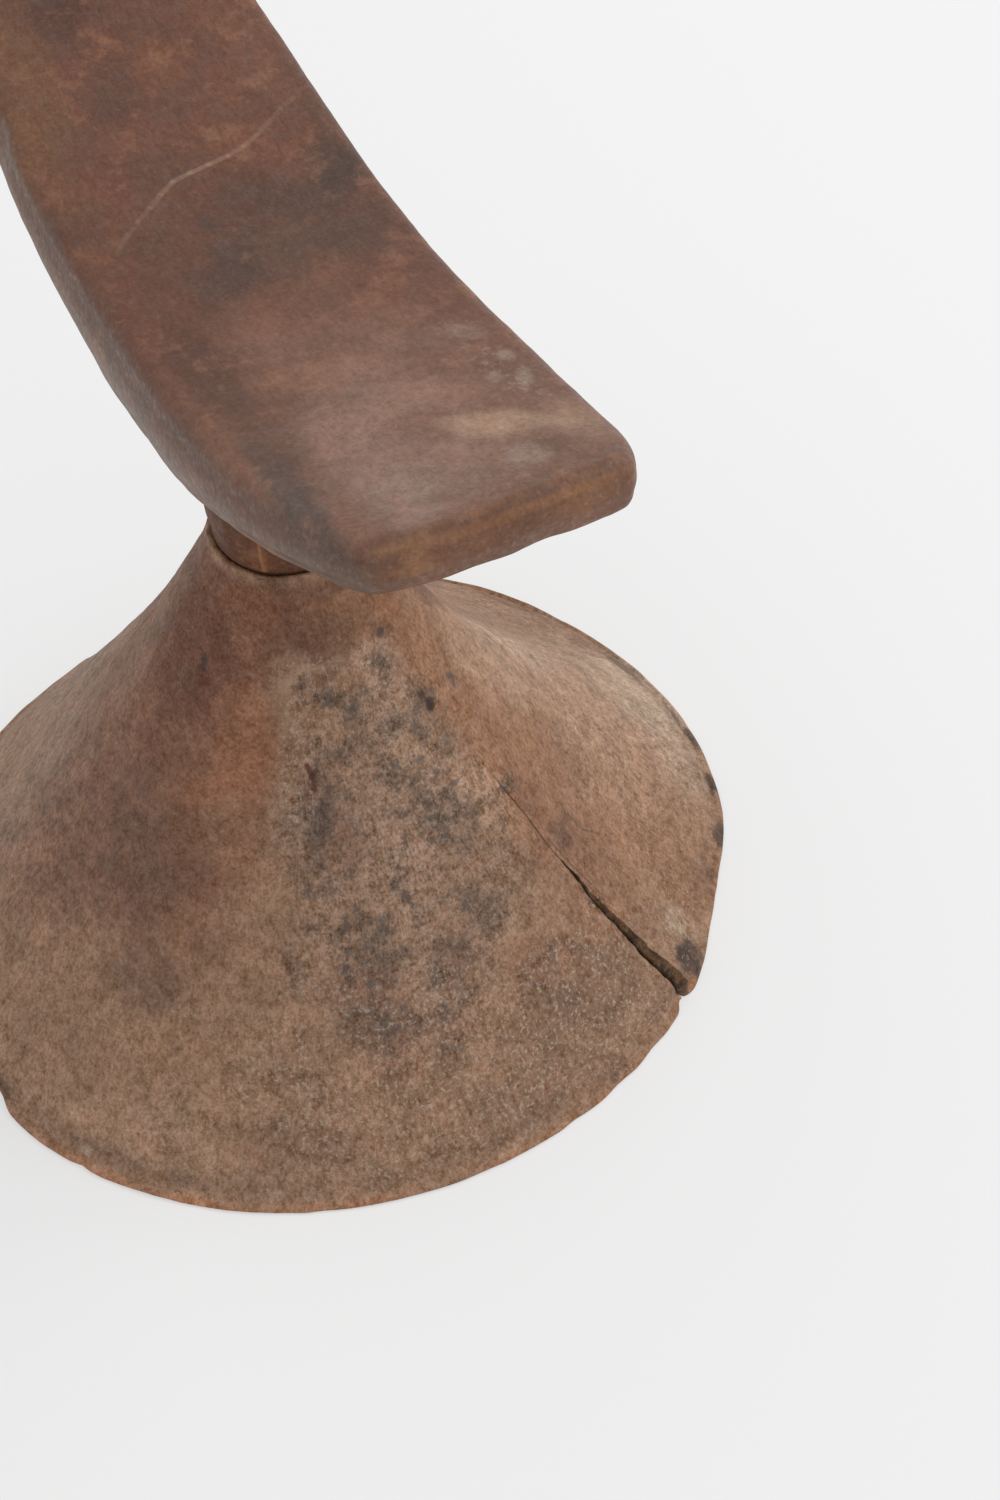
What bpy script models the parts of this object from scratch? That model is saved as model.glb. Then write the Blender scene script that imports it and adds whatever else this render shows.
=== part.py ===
"""Carved wooden headrest: a hollow flared base, a neck post tenoned into it and a curved head platform on top.

Metres, +Z up. The origin is on the ground under the middle of the base, and +X runs along the platform.
"""

import math

import bmesh
import bpy
from mathutils import Matrix, Vector

COLLECTION_NAME = "headrest"
CUTTER_COLLECTION_NAME = "headrest_cutters"
FIT_GAP = 0.0003

# Base: a flared cone with an oval foot, hollow from beneath.
BASE_HALF_LENGTH = 0.0760
BASE_HALF_WIDTH = 0.0806
BASE_HEIGHT = 0.0950
BASE_MEAN_RADIUS = (BASE_HALF_LENGTH + BASE_HALF_WIDTH) / 2
BASE_FLARE = 1.2
BASE_RIM_WIDTH = 0.0044
BASE_RIM_ROUNDING = 0.0009
BASE_STEPS = 72
BASE_RINGS = 14
HOLLOW_HEIGHT = 0.0380
HOLLOW_FULLNESS = 1.45
HOLLOW_RINGS = 8

# Lip around the neck's foot, at the top of the base.
LIP_RADIUS = 0.0130
LIP_ROUNDING = 0.0004
LIP_DEPTH = 0.0018

# Drying split through the base's wall, from the rim inwards.
SPLIT_TIP_RADIUS = 0.0490
SPLIT_TIP_ANGLE = math.radians(34.0)
SPLIT_TIP_WIDTH = 0.0004
SPLIT_MOUTH_RADIUS = 0.0840
SPLIT_MOUTH_ANGLE = math.radians(37.2)
SPLIT_MOUTH_WIDTH = 0.0024
SPLIT_CUT_HEIGHT = 0.0600

# Straight worn stretch of the rim beside the split.
RIM_FLAT_ANGLE = math.radians(51.3)
RIM_FLAT_DISTANCE = 0.0770

# Neck post: a round tenon at each end and a waist that flares up to the platform.
NECK_FOOT_RADIUS = 0.0115
NECK_WAIST_RADIUS = 0.0127
NECK_WAIST_HEIGHT = 0.0070
NECK_TOP_RADIUS = 0.0160
NECK_FLARE = 2.6
NECK_RINGS = 11
NECK_STEPS = 48
LOWER_TENON_RADIUS = 0.0080
LOWER_TENON_LENGTH = 0.0255
UPPER_TENON_RADIUS = 0.0075
UPPER_TENON_LENGTH = 0.0070
TENON_CHAMFER = 0.0008

# Head platform: a slab that curves up to both ends and is thickest over the neck.
SADDLE_HEIGHT = 0.1510
PLATFORM_HALF_LENGTH = 0.0770
PLATFORM_HALF_WIDTH = 0.0238
PLATFORM_RISE = 2.58
PLATFORM_TAPER = 0.70
PLATFORM_END_BOW = 0.0022
PLATFORM_END_THICKNESS = 0.0080
PLATFORM_MIDDLE_EXTRA = 0.0090
PLATFORM_THICK_REACH = 0.0600
PLATFORM_CORNER_RADIUS = 0.0075
PLATFORM_CORNER_SEGMENTS = 4
PLATFORM_EDGE_RADIUS = 0.0026
PLATFORM_EDGE_SEGMENTS = 3
PLATFORM_EDGE_LIMIT = math.radians(45)
PLATFORM_CROSS_CUTS = 18
PLATFORM_SEAT_HEIGHT = 0.1370

CUTTER_OVERRUN = 0.0100
CUTTER_STEPS = 48
MERGE_DISTANCE = 0.00001
SMOOTH_LIMIT = math.radians(35)

BASE_COLOUR = (0.235, 0.145, 0.093, 1.0)
NECK_COLOUR = (0.120, 0.066, 0.040, 1.0)
PLATFORM_COLOUR = (0.170, 0.095, 0.066, 1.0)


def clear_scene():
    for obj in list(bpy.data.objects):
        bpy.data.objects.remove(obj, do_unlink=True)


def new_collection(name, hidden=False):
    collection = bpy.data.collections.new(name)
    bpy.context.scene.collection.children.link(collection)
    collection.hide_render = hidden
    return collection


def wood_material(name, colour, roughness):
    material = bpy.data.materials.new(name)
    material.use_nodes = True
    shader = material.node_tree.nodes["Principled BSDF"]
    shader.inputs["Base Color"].default_value = colour
    shader.inputs["Roughness"].default_value = roughness
    shader.inputs["Metallic"].default_value = 0.0
    return material


def new_object(name, mesh, collection):
    obj = bpy.data.objects.new(name, mesh)
    collection.objects.link(obj)
    return obj


def polar(radius, angle, height=0.0):
    return Vector((radius * math.cos(angle), radius * math.sin(angle), height))


def turned_object(name, profile, steps, collection):
    """A solid of revolution about Z from (radius, height) points that run from the top down the outer side."""
    mesh = bpy.data.meshes.new(name)
    points = [(radius, 0.0, height) for radius, height in profile]
    edges = [(i, i + 1) for i in range(len(points) - 1)]
    mesh.from_pydata(points, edges, [])
    obj = new_object(name, mesh, collection)
    screw = obj.modifiers.new("turn", "SCREW")
    screw.axis = "Z"
    screw.angle = math.tau
    screw.steps = steps
    screw.render_steps = steps
    screw.use_merge_vertices = True
    screw.merge_threshold = MERGE_DISTANCE
    screw.use_smooth_shade = True
    return obj


def as_cutter(obj):
    obj.hide_render = True
    obj.display_type = "WIRE"
    return obj


def cylinder_cutter(name, radius, low, high, collection):
    bm = bmesh.new()
    bmesh.ops.create_cone(
        bm,
        cap_ends=True,
        segments=CUTTER_STEPS,
        radius1=radius,
        radius2=radius,
        depth=high - low,
    )
    mesh = bpy.data.meshes.new(name)
    bm.to_mesh(mesh)
    bm.free()
    obj = new_object(name, mesh, collection)
    obj.location = (0.0, 0.0, (low + high) / 2)
    return as_cutter(obj)


def cube_mesh(name, size, shift=(0.0, 0.0, 0.0)):
    bm = bmesh.new()
    bmesh.ops.create_cube(bm, size=1.0)
    bmesh.ops.scale(bm, vec=size, verts=bm.verts)
    bmesh.ops.translate(bm, vec=shift, verts=bm.verts)
    mesh = bpy.data.meshes.new(name)
    bm.to_mesh(mesh)
    bm.free()
    return mesh


def cut_with(obj, cutter):
    boolean = obj.modifiers.new(cutter.name, "BOOLEAN")
    boolean.operation = "DIFFERENCE"
    boolean.object = cutter
    boolean.solver = "EXACT"


def split_cutter(collection):
    """A thin upright wedge, widest at the rim."""
    tip = polar(SPLIT_TIP_RADIUS, SPLIT_TIP_ANGLE)
    mouth = polar(SPLIT_MOUTH_RADIUS, SPLIT_MOUTH_ANGLE)
    run = mouth - tip
    mesh = cube_mesh(
        "split_wedge",
        (run.length, SPLIT_TIP_WIDTH, SPLIT_CUT_HEIGHT),
        (run.length / 2, 0.0, SPLIT_CUT_HEIGHT / 2 - CUTTER_OVERRUN),
    )
    for vertex in mesh.vertices:
        if vertex.co.x > run.length / 2:
            vertex.co.y *= SPLIT_MOUTH_WIDTH / SPLIT_TIP_WIDTH
    obj = new_object("split_wedge", mesh, collection)
    obj.location = tip
    obj.rotation_euler = (0.0, 0.0, math.atan2(run.y, run.x))
    return as_cutter(obj)


def rim_flat_cutter(collection):
    """A block that trims the rim straight over the flap beside the split."""
    width = BASE_HALF_WIDTH
    depth = 2 * CUTTER_OVERRUN
    mesh = cube_mesh("rim_flat_block", (depth, width, 2 * CUTTER_OVERRUN), (depth / 2, 0.0, 0.0))
    obj = new_object("rim_flat_block", mesh, collection)
    obj.location = polar(RIM_FLAT_DISTANCE, RIM_FLAT_ANGLE)
    obj.rotation_euler = (0.0, 0.0, RIM_FLAT_ANGLE)
    return as_cutter(obj)


def base_profile():
    """Down the outside from the lip, across the rim, then up the hollow to the axis."""
    reach = BASE_MEAN_RADIUS - LIP_RADIUS
    points = [
        (0.0, BASE_HEIGHT),
        (LIP_RADIUS - LIP_ROUNDING, BASE_HEIGHT),
        (LIP_RADIUS, BASE_HEIGHT - LIP_ROUNDING),
    ]
    for ring in range(1, BASE_RINGS):
        height = BASE_HEIGHT * (1 - ring / BASE_RINGS)
        share = (1 - height / BASE_HEIGHT) ** BASE_FLARE
        points.append((LIP_RADIUS + reach * share, height))
    points.append((BASE_MEAN_RADIUS, BASE_RIM_ROUNDING))
    points.append((BASE_MEAN_RADIUS - BASE_RIM_ROUNDING, 0.0))
    hollow_radius = BASE_MEAN_RADIUS - BASE_RIM_WIDTH
    for ring in range(HOLLOW_RINGS + 1):
        share = ring / HOLLOW_RINGS
        radius = hollow_radius * (1 - share)
        height = HOLLOW_HEIGHT * (1 - (1 - share) ** HOLLOW_FULLNESS)
        points.append((radius, height))
    return points


def make_base(collection, cutters):
    obj = turned_object("base", base_profile(), BASE_STEPS, collection)
    obj.scale = (BASE_HALF_LENGTH / BASE_MEAN_RADIUS, BASE_HALF_WIDTH / BASE_MEAN_RADIUS, 1.0)
    seat_floor = BASE_HEIGHT - LIP_DEPTH
    mortise_floor = seat_floor - LOWER_TENON_LENGTH - FIT_GAP
    top = BASE_HEIGHT + CUTTER_OVERRUN
    seat = cylinder_cutter("neck_seat", NECK_FOOT_RADIUS + FIT_GAP, seat_floor, top, cutters)
    mortise = cylinder_cutter(
        "base_mortise", LOWER_TENON_RADIUS + FIT_GAP, mortise_floor, top, cutters
    )
    cut_with(obj, seat)
    cut_with(obj, mortise)
    cut_with(obj, split_cutter(cutters))
    cut_with(obj, rim_flat_cutter(cutters))
    obj.data.materials.append(wood_material("base_wood", BASE_COLOUR, 0.62))
    return obj


def neck_radius(rise):
    """The post's outer radius at a height above the lip."""
    if rise <= NECK_WAIST_HEIGHT:
        share = math.sin(math.pi / 2 * rise / NECK_WAIST_HEIGHT)
        return NECK_FOOT_RADIUS + (NECK_WAIST_RADIUS - NECK_FOOT_RADIUS) * share
    span = PLATFORM_SEAT_HEIGHT - FIT_GAP - BASE_HEIGHT
    share = (rise - NECK_WAIST_HEIGHT) / (span - NECK_WAIST_HEIGHT)
    return NECK_WAIST_RADIUS + (NECK_TOP_RADIUS - NECK_WAIST_RADIUS) * share**NECK_FLARE


def neck_profile():
    """Down the upper tenon, the flared post between its two shoulders, and the lower tenon."""
    foot = BASE_HEIGHT - LIP_DEPTH + FIT_GAP
    top = PLATFORM_SEAT_HEIGHT - FIT_GAP
    tenon_top = top + UPPER_TENON_LENGTH
    tenon_bottom = foot - LOWER_TENON_LENGTH
    points = [
        (0.0, tenon_top),
        (UPPER_TENON_RADIUS - TENON_CHAMFER, tenon_top),
        (UPPER_TENON_RADIUS, tenon_top - TENON_CHAMFER),
        (UPPER_TENON_RADIUS, top),
    ]
    for ring in reversed(range(NECK_RINGS + 1)):
        rise = (top - BASE_HEIGHT) * ring / NECK_RINGS
        points.append((neck_radius(rise), BASE_HEIGHT + rise))
    points += [
        (NECK_FOOT_RADIUS, foot),
        (LOWER_TENON_RADIUS, foot),
        (LOWER_TENON_RADIUS, tenon_bottom + TENON_CHAMFER),
        (LOWER_TENON_RADIUS - TENON_CHAMFER, tenon_bottom),
        (0.0, tenon_bottom),
    ]
    return points


def make_neck(collection):
    obj = turned_object("neck", neck_profile(), NECK_STEPS, collection)
    obj.data.materials.append(wood_material("neck_wood", NECK_COLOUR, 0.55))
    return obj


def platform_top(x):
    return SADDLE_HEIGHT + PLATFORM_RISE * x * x


def platform_thickness(x):
    reach = min(abs(x) / PLATFORM_THICK_REACH, 1.0)
    return PLATFORM_END_THICKNESS + PLATFORM_MIDDLE_EXTRA * math.cos(math.pi / 2 * reach) ** 2


def platform_blank():
    """A flat block with rounded corners in plan, cut across so that it can bend."""
    bm = bmesh.new()
    bmesh.ops.create_cube(bm, size=2.0)
    size = (PLATFORM_HALF_LENGTH, PLATFORM_HALF_WIDTH, 1.0)
    bmesh.ops.scale(bm, vec=size, verts=bm.verts)
    uprights = [e for e in bm.edges if abs(e.verts[0].co.z - e.verts[1].co.z) > 1.0]
    bmesh.ops.bevel(
        bm,
        geom=uprights,
        offset=PLATFORM_CORNER_RADIUS,
        segments=PLATFORM_CORNER_SEGMENTS,
        profile=0.5,
        affect="EDGES",
    )
    for cut in range(1, PLATFORM_CROSS_CUTS):
        x = PLATFORM_HALF_LENGTH * (2 * cut / PLATFORM_CROSS_CUTS - 1)
        cut_blank(bm, (x, 0.0, 0.0), (1.0, 0.0, 0.0))
    for share in (-0.5, 0.0, 0.5):
        cut_blank(bm, (0.0, share * PLATFORM_HALF_WIDTH, 0.0), (0.0, 1.0, 0.0))
    return bm


def cut_blank(bm, point, normal):
    geometry = list(bm.verts) + list(bm.edges) + list(bm.faces)
    bmesh.ops.bisect_plane(bm, geom=geometry, plane_co=point, plane_no=normal)


def bend_platform(bm):
    """Gives the blank its curve, thickness, taper and bowed ends."""
    for vertex in bm.verts:
        x, y, side = vertex.co
        along = abs(x) / PLATFORM_HALF_LENGTH
        across = y / PLATFORM_HALF_WIDTH
        bow = PLATFORM_END_BOW * across**2 * along**4
        new_x = math.copysign(abs(x) - bow, x)
        new_y = y * (1 - PLATFORM_TAPER * x * x / PLATFORM_HALF_WIDTH)
        drop = 0.0 if side > 0 else platform_thickness(new_x)
        vertex.co = (new_x, new_y, platform_top(new_x) - drop)


def make_platform(collection, cutters):
    bm = platform_blank()
    bend_platform(bm)
    mesh = bpy.data.meshes.new("head_platform")
    bm.to_mesh(mesh)
    bm.free()
    mesh.shade_smooth()
    mesh.set_sharp_from_angle(angle=SMOOTH_LIMIT)
    obj = new_object("head_platform", mesh, collection)
    rounding = obj.modifiers.new("edge_rounding", "BEVEL")
    rounding.width = PLATFORM_EDGE_RADIUS
    rounding.segments = PLATFORM_EDGE_SEGMENTS
    rounding.limit_method = "ANGLE"
    rounding.angle_limit = PLATFORM_EDGE_LIMIT
    low = PLATFORM_SEAT_HEIGHT - 2 * CUTTER_OVERRUN
    mortise_top = PLATFORM_SEAT_HEIGHT + UPPER_TENON_LENGTH
    seat = cylinder_cutter(
        "platform_seat", NECK_TOP_RADIUS + FIT_GAP, low, PLATFORM_SEAT_HEIGHT, cutters
    )
    mortise = cylinder_cutter(
        "platform_mortise", UPPER_TENON_RADIUS + FIT_GAP, low, mortise_top, cutters
    )
    cut_with(obj, seat)
    cut_with(obj, mortise)
    obj.data.materials.append(wood_material("platform_wood", PLATFORM_COLOUR, 0.48))
    return obj


def main():
    clear_scene()
    parts = new_collection(COLLECTION_NAME)
    cutters = new_collection(CUTTER_COLLECTION_NAME, hidden=True)
    origin = new_object("headrest_origin", None, parts)
    for part in (make_base(parts, cutters), make_neck(parts), make_platform(parts, cutters)):
        part.parent = origin
        part.matrix_parent_inverse = Matrix.Identity(4)


main()
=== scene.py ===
"""Looks of a carved wooden headrest: a hollow cone base, a neck post and a curved head platform.

Blender 4.5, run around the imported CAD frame. +Z is up and +X runs along the platform.
Shapes are worked out in millimetres and stored in metres. A place on the base is (angle, height) and
a place on the platform is (x, y). Each piece replaces one CAD node and fills the same space.
"""

import itertools
import math

import bpy
import numpy as np
from mathutils import Matrix, Vector


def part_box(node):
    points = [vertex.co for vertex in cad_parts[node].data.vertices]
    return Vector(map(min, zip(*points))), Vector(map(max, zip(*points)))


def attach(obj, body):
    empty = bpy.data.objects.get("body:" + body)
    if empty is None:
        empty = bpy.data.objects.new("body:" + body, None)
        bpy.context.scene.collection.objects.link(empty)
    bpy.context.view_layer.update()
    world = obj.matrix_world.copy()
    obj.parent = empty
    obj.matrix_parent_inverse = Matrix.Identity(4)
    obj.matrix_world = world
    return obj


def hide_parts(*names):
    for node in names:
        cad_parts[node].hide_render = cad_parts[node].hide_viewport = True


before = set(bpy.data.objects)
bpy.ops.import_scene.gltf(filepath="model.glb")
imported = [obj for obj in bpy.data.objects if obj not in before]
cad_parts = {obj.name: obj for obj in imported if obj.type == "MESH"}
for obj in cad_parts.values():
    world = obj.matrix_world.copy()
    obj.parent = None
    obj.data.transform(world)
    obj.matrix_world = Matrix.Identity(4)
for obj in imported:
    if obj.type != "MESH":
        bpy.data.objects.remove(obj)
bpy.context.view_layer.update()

MM = 0.001

# ---------------------------------------------------------------- driving sizes, in millimetres and degrees

BASE_HALF_X, BASE_HALF_Y, BASE_HEIGHT = np.array(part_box("base")[1]) / MM
NECK_BOTTOM, NECK_TOP = (np.array(corner)[2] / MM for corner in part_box("neck"))
LIP_RADIUS = 13.0
LIP_DEPTH = 1.8
BASE_FLARE = 1.2
SIDE_HOLLOW = (114.0, 36.0, 0.42)  # angle, half width in degrees, extra flare
RIM_FLAT = (51.3, 77.0)  # angle, distance from the axis
RIM_FLAT_SOFTNESS = 1.2
RIM_PULLS = ((112.0, 22.0, 1.3), (-158.0, 18.0, 1.1))  # angle, half width in degrees, depth
RIM_WIDTH = 4.4
HOLLOW_HEIGHT = 38.0
HOLLOW_FULLNESS = 1.45
EDGE_INSET = 1.4
OUTWARD_LEAN = (0.66, 0.75)  # outward and upward share of what stands proud of the cone

SPLIT_TIP = (49.0, 34.0)  # radius, angle
SPLIT_MOUTH = (84.0, 37.2)
SPLIT_WIDTH = 0.9
SPLIT_OPENING = 0.8
FLAP_RISE = 1.4
FLAP_BEVEL = 1.7
FLAP_SPREAD = 15.0
TORN_DEPTH = 1.9

COLUMNS = 440
OUTER_CLOSED_ROWS = 58
OUTER_OPEN_ROWS = 46
INNER_CLOSED_ROWS = 22

NECK_COLUMNS = 168
PLATFORM_CELLS_ALONG = 250
PLATFORM_CELLS_ACROSS = 78
SADDLE_HEIGHT = 151.0
PLATFORM_RISE = 0.00258
PLATFORM_SEAT = 137.0
FIT_GAP = 0.3


# ---------------------------------------------------------------- numbers


def smooth(value):
    """Eases 0 to 1, held at both ends."""
    share = np.clip(value, 0.0, 1.0)
    return share * share * (3 - 2 * share)


def bell(value, centre, width):
    return np.exp(-(((value - centre) / width) ** 2))


def turn_between(angle, centre):
    """How far an angle is past another, in degrees from -180 to 180."""
    return (angle - centre + 180.0) % 360.0 - 180.0


def lattice(cells, seed):
    """One repeatable number from 0 to 1 for each whole-number cell."""
    cells = cells.astype(np.int64)
    mixed = cells[:, 0] * 374761393 + cells[:, 1] * 668265263 + cells[:, 2] * 1440662683 + seed * 974711
    mixed = (mixed ^ (mixed >> 13)) * 1274126177
    mixed = mixed ^ (mixed >> 16)
    return (mixed & 0xFFFFFF) / 0xFFFFFF


def noise(points, size, seed):
    """Smooth noise from -1 to 1, in blobs of that size."""
    scaled = points / size
    cell = np.floor(scaled)
    part = scaled - cell
    part = part * part * (3 - 2 * part)
    total = np.zeros(len(points))
    for corner in itertools.product((0, 1), repeat=3):
        weight = np.prod(np.where(np.array(corner) == 1, part, 1 - part), axis=1)
        total += weight * lattice(cell + corner, seed)
    return 2 * total - 1


def fractal(points, size, seed, octaves=3):
    total = np.zeros(len(points))
    for octave in range(octaves):
        turned = points + 17.3 * octave
        total += noise(turned, size / 2**octave, seed + octave) * 0.55**octave
    return total


def linear(colour):
    """An sRGB colour of 0 to 255 as linear numbers."""
    share = np.array(colour, float) / 255
    return np.where(share <= 0.04045, share / 12.92, ((share + 0.055) / 1.055) ** 2.4)


# ---------------------------------------------------------------- meshes


def mesh_object(name, points, faces):
    """A smooth-shaded object from points in millimetres."""
    mesh = bpy.data.meshes.new(name)
    mesh.from_pydata((np.asarray(points) * MM).tolist(), [], faces)
    mesh.validate()
    mesh.shade_smooth()
    obj = bpy.data.objects.new(name, mesh)
    bpy.context.scene.collection.objects.link(obj)
    return obj


def mesh_points(mesh):
    points = np.zeros(len(mesh.vertices) * 3)
    mesh.vertices.foreach_get("co", points)
    return points.reshape(-1, 3) / MM


def mesh_normals(mesh):
    normals = np.zeros(len(mesh.vertices) * 3)
    mesh.vertices.foreach_get("normal", normals)
    return normals.reshape(-1, 3)


def store_colour(mesh, name, colours):
    layer = mesh.attributes.new(name, "FLOAT_COLOR", "POINT")
    rows = np.column_stack([np.clip(colours, 0.0, 1.0), np.ones(len(colours))])
    layer.data.foreach_set("color", rows.astype(np.float32).ravel())


def store_marks(mesh, mottle, fleck, torn):
    """How mottled, how flecked and how torn each point is, which the material reads."""
    whole = np.zeros(len(mesh.vertices))
    store_colour(mesh, "marks", np.column_stack([whole + mottle, whole + fleck, whole + torn]))


def store_vector(mesh, name, vectors):
    layer = mesh.attributes.new(name, "FLOAT_VECTOR", "POINT")
    layer.data.foreach_set("vector", vectors.astype(np.float32).ravel())


def around(turn, radius, height):
    """Points round the upright axis at those turns, in radians."""
    return np.column_stack([radius * np.cos(turn), radius * np.sin(turn), height + 0 * turn])


def grid_faces(index, flip=False):
    """Quads over a grid of point numbers, left out where they have no area."""
    a, b = index[:-1, :-1].ravel(), index[:-1, 1:].ravel()
    c, d = index[1:, 1:].ravel(), index[1:, :-1].ravel()
    quads = np.stack([a, d, c, b] if flip else [a, b, c, d], axis=1)
    faces = []
    for quad in quads.tolist():
        corners = list(dict.fromkeys(quad))
        if len(corners) > 2:
            faces.append(corners)
    return faces


def turned_object(name, rings):
    """A closed solid through rings of points, with both ends capped."""
    count = len(rings[0])
    index = [np.append(start + np.arange(count), start) for start in count * np.arange(len(rings))]
    faces = grid_faces(np.array(index))
    faces.append(index[0][:-1][::-1].tolist())
    faces.append(index[-1][:-1].tolist())
    return mesh_object(name, np.vstack(rings), faces)


def evenly_along(line, count):
    """That many points, spaced evenly along a line of points."""
    run = np.concatenate([[0.0], np.cumsum(np.linalg.norm(np.diff(line, axis=0), axis=1))])
    wanted = np.linspace(0, run[-1], count)
    return np.column_stack([np.interp(wanted, run, line[:, axis]) for axis in (0, 1)])


# ---------------------------------------------------------------- base: outline and profile

RIM_CHIPS = [
    # angle, half width in degrees, depth
    (-76, 3.6, 2.2), (-59, 1, 0.4), (11, 2.5, 0.25),
    (20, 2.2, 0.35), (27, 2, 0.3), (35.9, 1.5, 1.3),
    (150, 4, 1.2), (-120, 3, 1), (197, 1.6, 0.7),
]

ARRISES = np.array([-24.0, 31.0, 95.0, 150.0, 205.0, 262.0, 300.0])
FACET_DEPTH = 0.24
FACET_ROUNDING = 0.55

EDGE_PROFILE = [
    # inset from the rim's outline, height: down round the worn edge and across the foot ring
    (1.05, 1.60), (0.66, 1.36), (0.34, 1.06), (0.12, 0.76),
    (0.00, 0.46), (0.08, 0.22), (0.30, 0.06), (0.75, 0.00),
    (1.70, 0.00), (2.80, 0.00), (3.80, 0.02), (4.20, 0.12),
]

LIP_PROFILE = [
    # radius, height above the base's top: up over the lip and down into the neck's seat
    (12.90, 0.14), (12.70, 0.26), (12.45, 0.28), (12.20, 0.22),
    (12.00, 0.14), (11.85, 0.02), (11.80, -0.20), (11.80, -0.90),
    (11.80, -1.50), (11.80, -1.80), (10.90, -1.80), (9.60, -1.80),
    (8.40, -1.80), (8.30, -1.95), (8.30, -9.00), (8.30, -18.00),
    (8.30, -27.00), (8.00, -27.60), (4.00, -27.60), (1.20, -27.60),
]


def soft_min(a, b, softness):
    share = np.clip(0.5 + 0.5 * (b - a) / softness, 0.0, 1.0)
    return b * (1 - share) + a * share - softness * share * (1 - share)


def rim_radius(angle):
    """The foot's outline: an oval with a straight worn stretch beside the split."""
    turn = np.radians(angle)
    oval = 1 / np.hypot(np.cos(turn) / BASE_HALF_X, np.sin(turn) / BASE_HALF_Y)
    off_flat = np.clip(turn_between(angle, RIM_FLAT[0]), -60, 60)
    flat = RIM_FLAT[1] / np.cos(np.radians(off_flat))
    return soft_min(oval, flat, RIM_FLAT_SOFTNESS) - bells_at(angle, RIM_PULLS)


def bells_at(angle, places):
    """The sum of smooth bumps, each given by its angle, half width in degrees and depth."""
    depth = np.zeros_like(angle)
    for centre, width, cut in places:
        depth = depth + cut * bell(turn_between(angle, centre), 0.0, width)
    return depth


def flare(angle):
    centre, width, extra = SIDE_HOLLOW
    return BASE_FLARE + extra * bell(turn_between(angle, centre), 0.0, width)


def height_at(angle, share):
    """Height of the outer surface where its radius is that share of the way from lip to rim."""
    return BASE_HEIGHT * (1 - share ** (1 / flare(angle)))


def share_at(angle, height):
    return np.clip(1 - height / BASE_HEIGHT, 0.0, 1.0) ** flare(angle)


def base_place(angle, height):
    """The point on the smooth outer surface at that angle and height."""
    angle = np.asarray(angle, float)
    radius = LIP_RADIUS + (rim_radius(angle) - LIP_RADIUS) * share_at(angle, height)
    turn = np.radians(angle)
    return np.stack([radius * np.cos(turn), radius * np.sin(turn), height + 0 * angle], axis=-1)


def split_centre(radius):
    """The split's angle at that radius, with the wander of torn fibres."""
    run = (radius - SPLIT_TIP[0]) / (SPLIT_MOUTH[0] - SPLIT_TIP[0])
    wander = 0.12 * np.sin(radius * 0.62) + 0.07 * np.sin(radius * 1.71 + 1.0)
    return SPLIT_TIP[1] + (SPLIT_MOUTH[1] - SPLIT_TIP[1]) * run + wander * smooth(run * 6)


def split_run(radius):
    """0 at the split's tip and 1 at the rim."""
    return np.clip((radius - SPLIT_TIP[0]) / (rim_radius(SPLIT_MOUTH[1]) - SPLIT_TIP[0]), 0, 1.1)


def split_half_width(radius, side, bevel):
    """Half the gap in degrees; side 1, the raised flap, also slopes back by the bevel."""
    run = split_run(radius)
    rough = 0.06 * np.sin(radius * 2.9 + 2 * side) + 0.04 * np.sin(radius * 6.1 - side)
    width = SPLIT_WIDTH * run**SPLIT_OPENING / 2 + rough * smooth(run * 8) + side * bevel * run
    return np.degrees(np.maximum(width, 0.0) / radius)


def column_shares():
    """Shares of a full turn, closer together at the split and along the front."""
    samples = np.linspace(0.0, 1.0, 4001)
    angle = SPLIT_TIP[1] + 360 * samples
    gap = np.minimum(samples, 1 - samples) * 360
    density = 1 + 3.2 * np.exp(-((gap / 5) ** 2)) + 0.55 * bell(turn_between(angle, 10.0), 0.0, 85.0)
    total = np.concatenate([[0.0], np.cumsum((density[1:] + density[:-1]) / 2)])
    wanted = np.linspace(0.0, total[-1], COLUMNS + 1)
    return np.interp(wanted, total, samples)


def row_angles(radius, is_open, bevel=0.0):
    """The angles of one ring of points; an open ring stops at the split's two sides."""
    shares = column_shares()
    if not is_open:
        return SPLIT_TIP[1] + 360 * shares
    start = split_centre(radius) + split_half_width(radius, 1, bevel)
    end = split_centre(radius) - split_half_width(radius, 0, bevel) + 360
    return start + (end - start) * shares


def facet_cut(angle, arrises, rounding):
    """How much flatter than round a surface is between its arrises, as a share of the radius."""
    cut = np.zeros_like(angle)
    turned = (angle - arrises[0]) % 360 + arrises[0]
    ends = np.append(arrises, arrises[0] + 360)
    for low, high in zip(ends[:-1], ends[1:]):
        half = (high - low) / 2
        off = turned - (low + high) / 2
        chord = 1 - np.cos(np.radians(half)) / np.cos(np.radians(np.clip(off, -half, half)))
        wave = (1 - np.cos(np.radians(half))) * (0.5 + 0.5 * np.cos(np.pi * off / half))
        cut += np.where(np.abs(off) <= half, (1 - rounding) * chord + rounding * wave, 0.0)
    return cut


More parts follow.
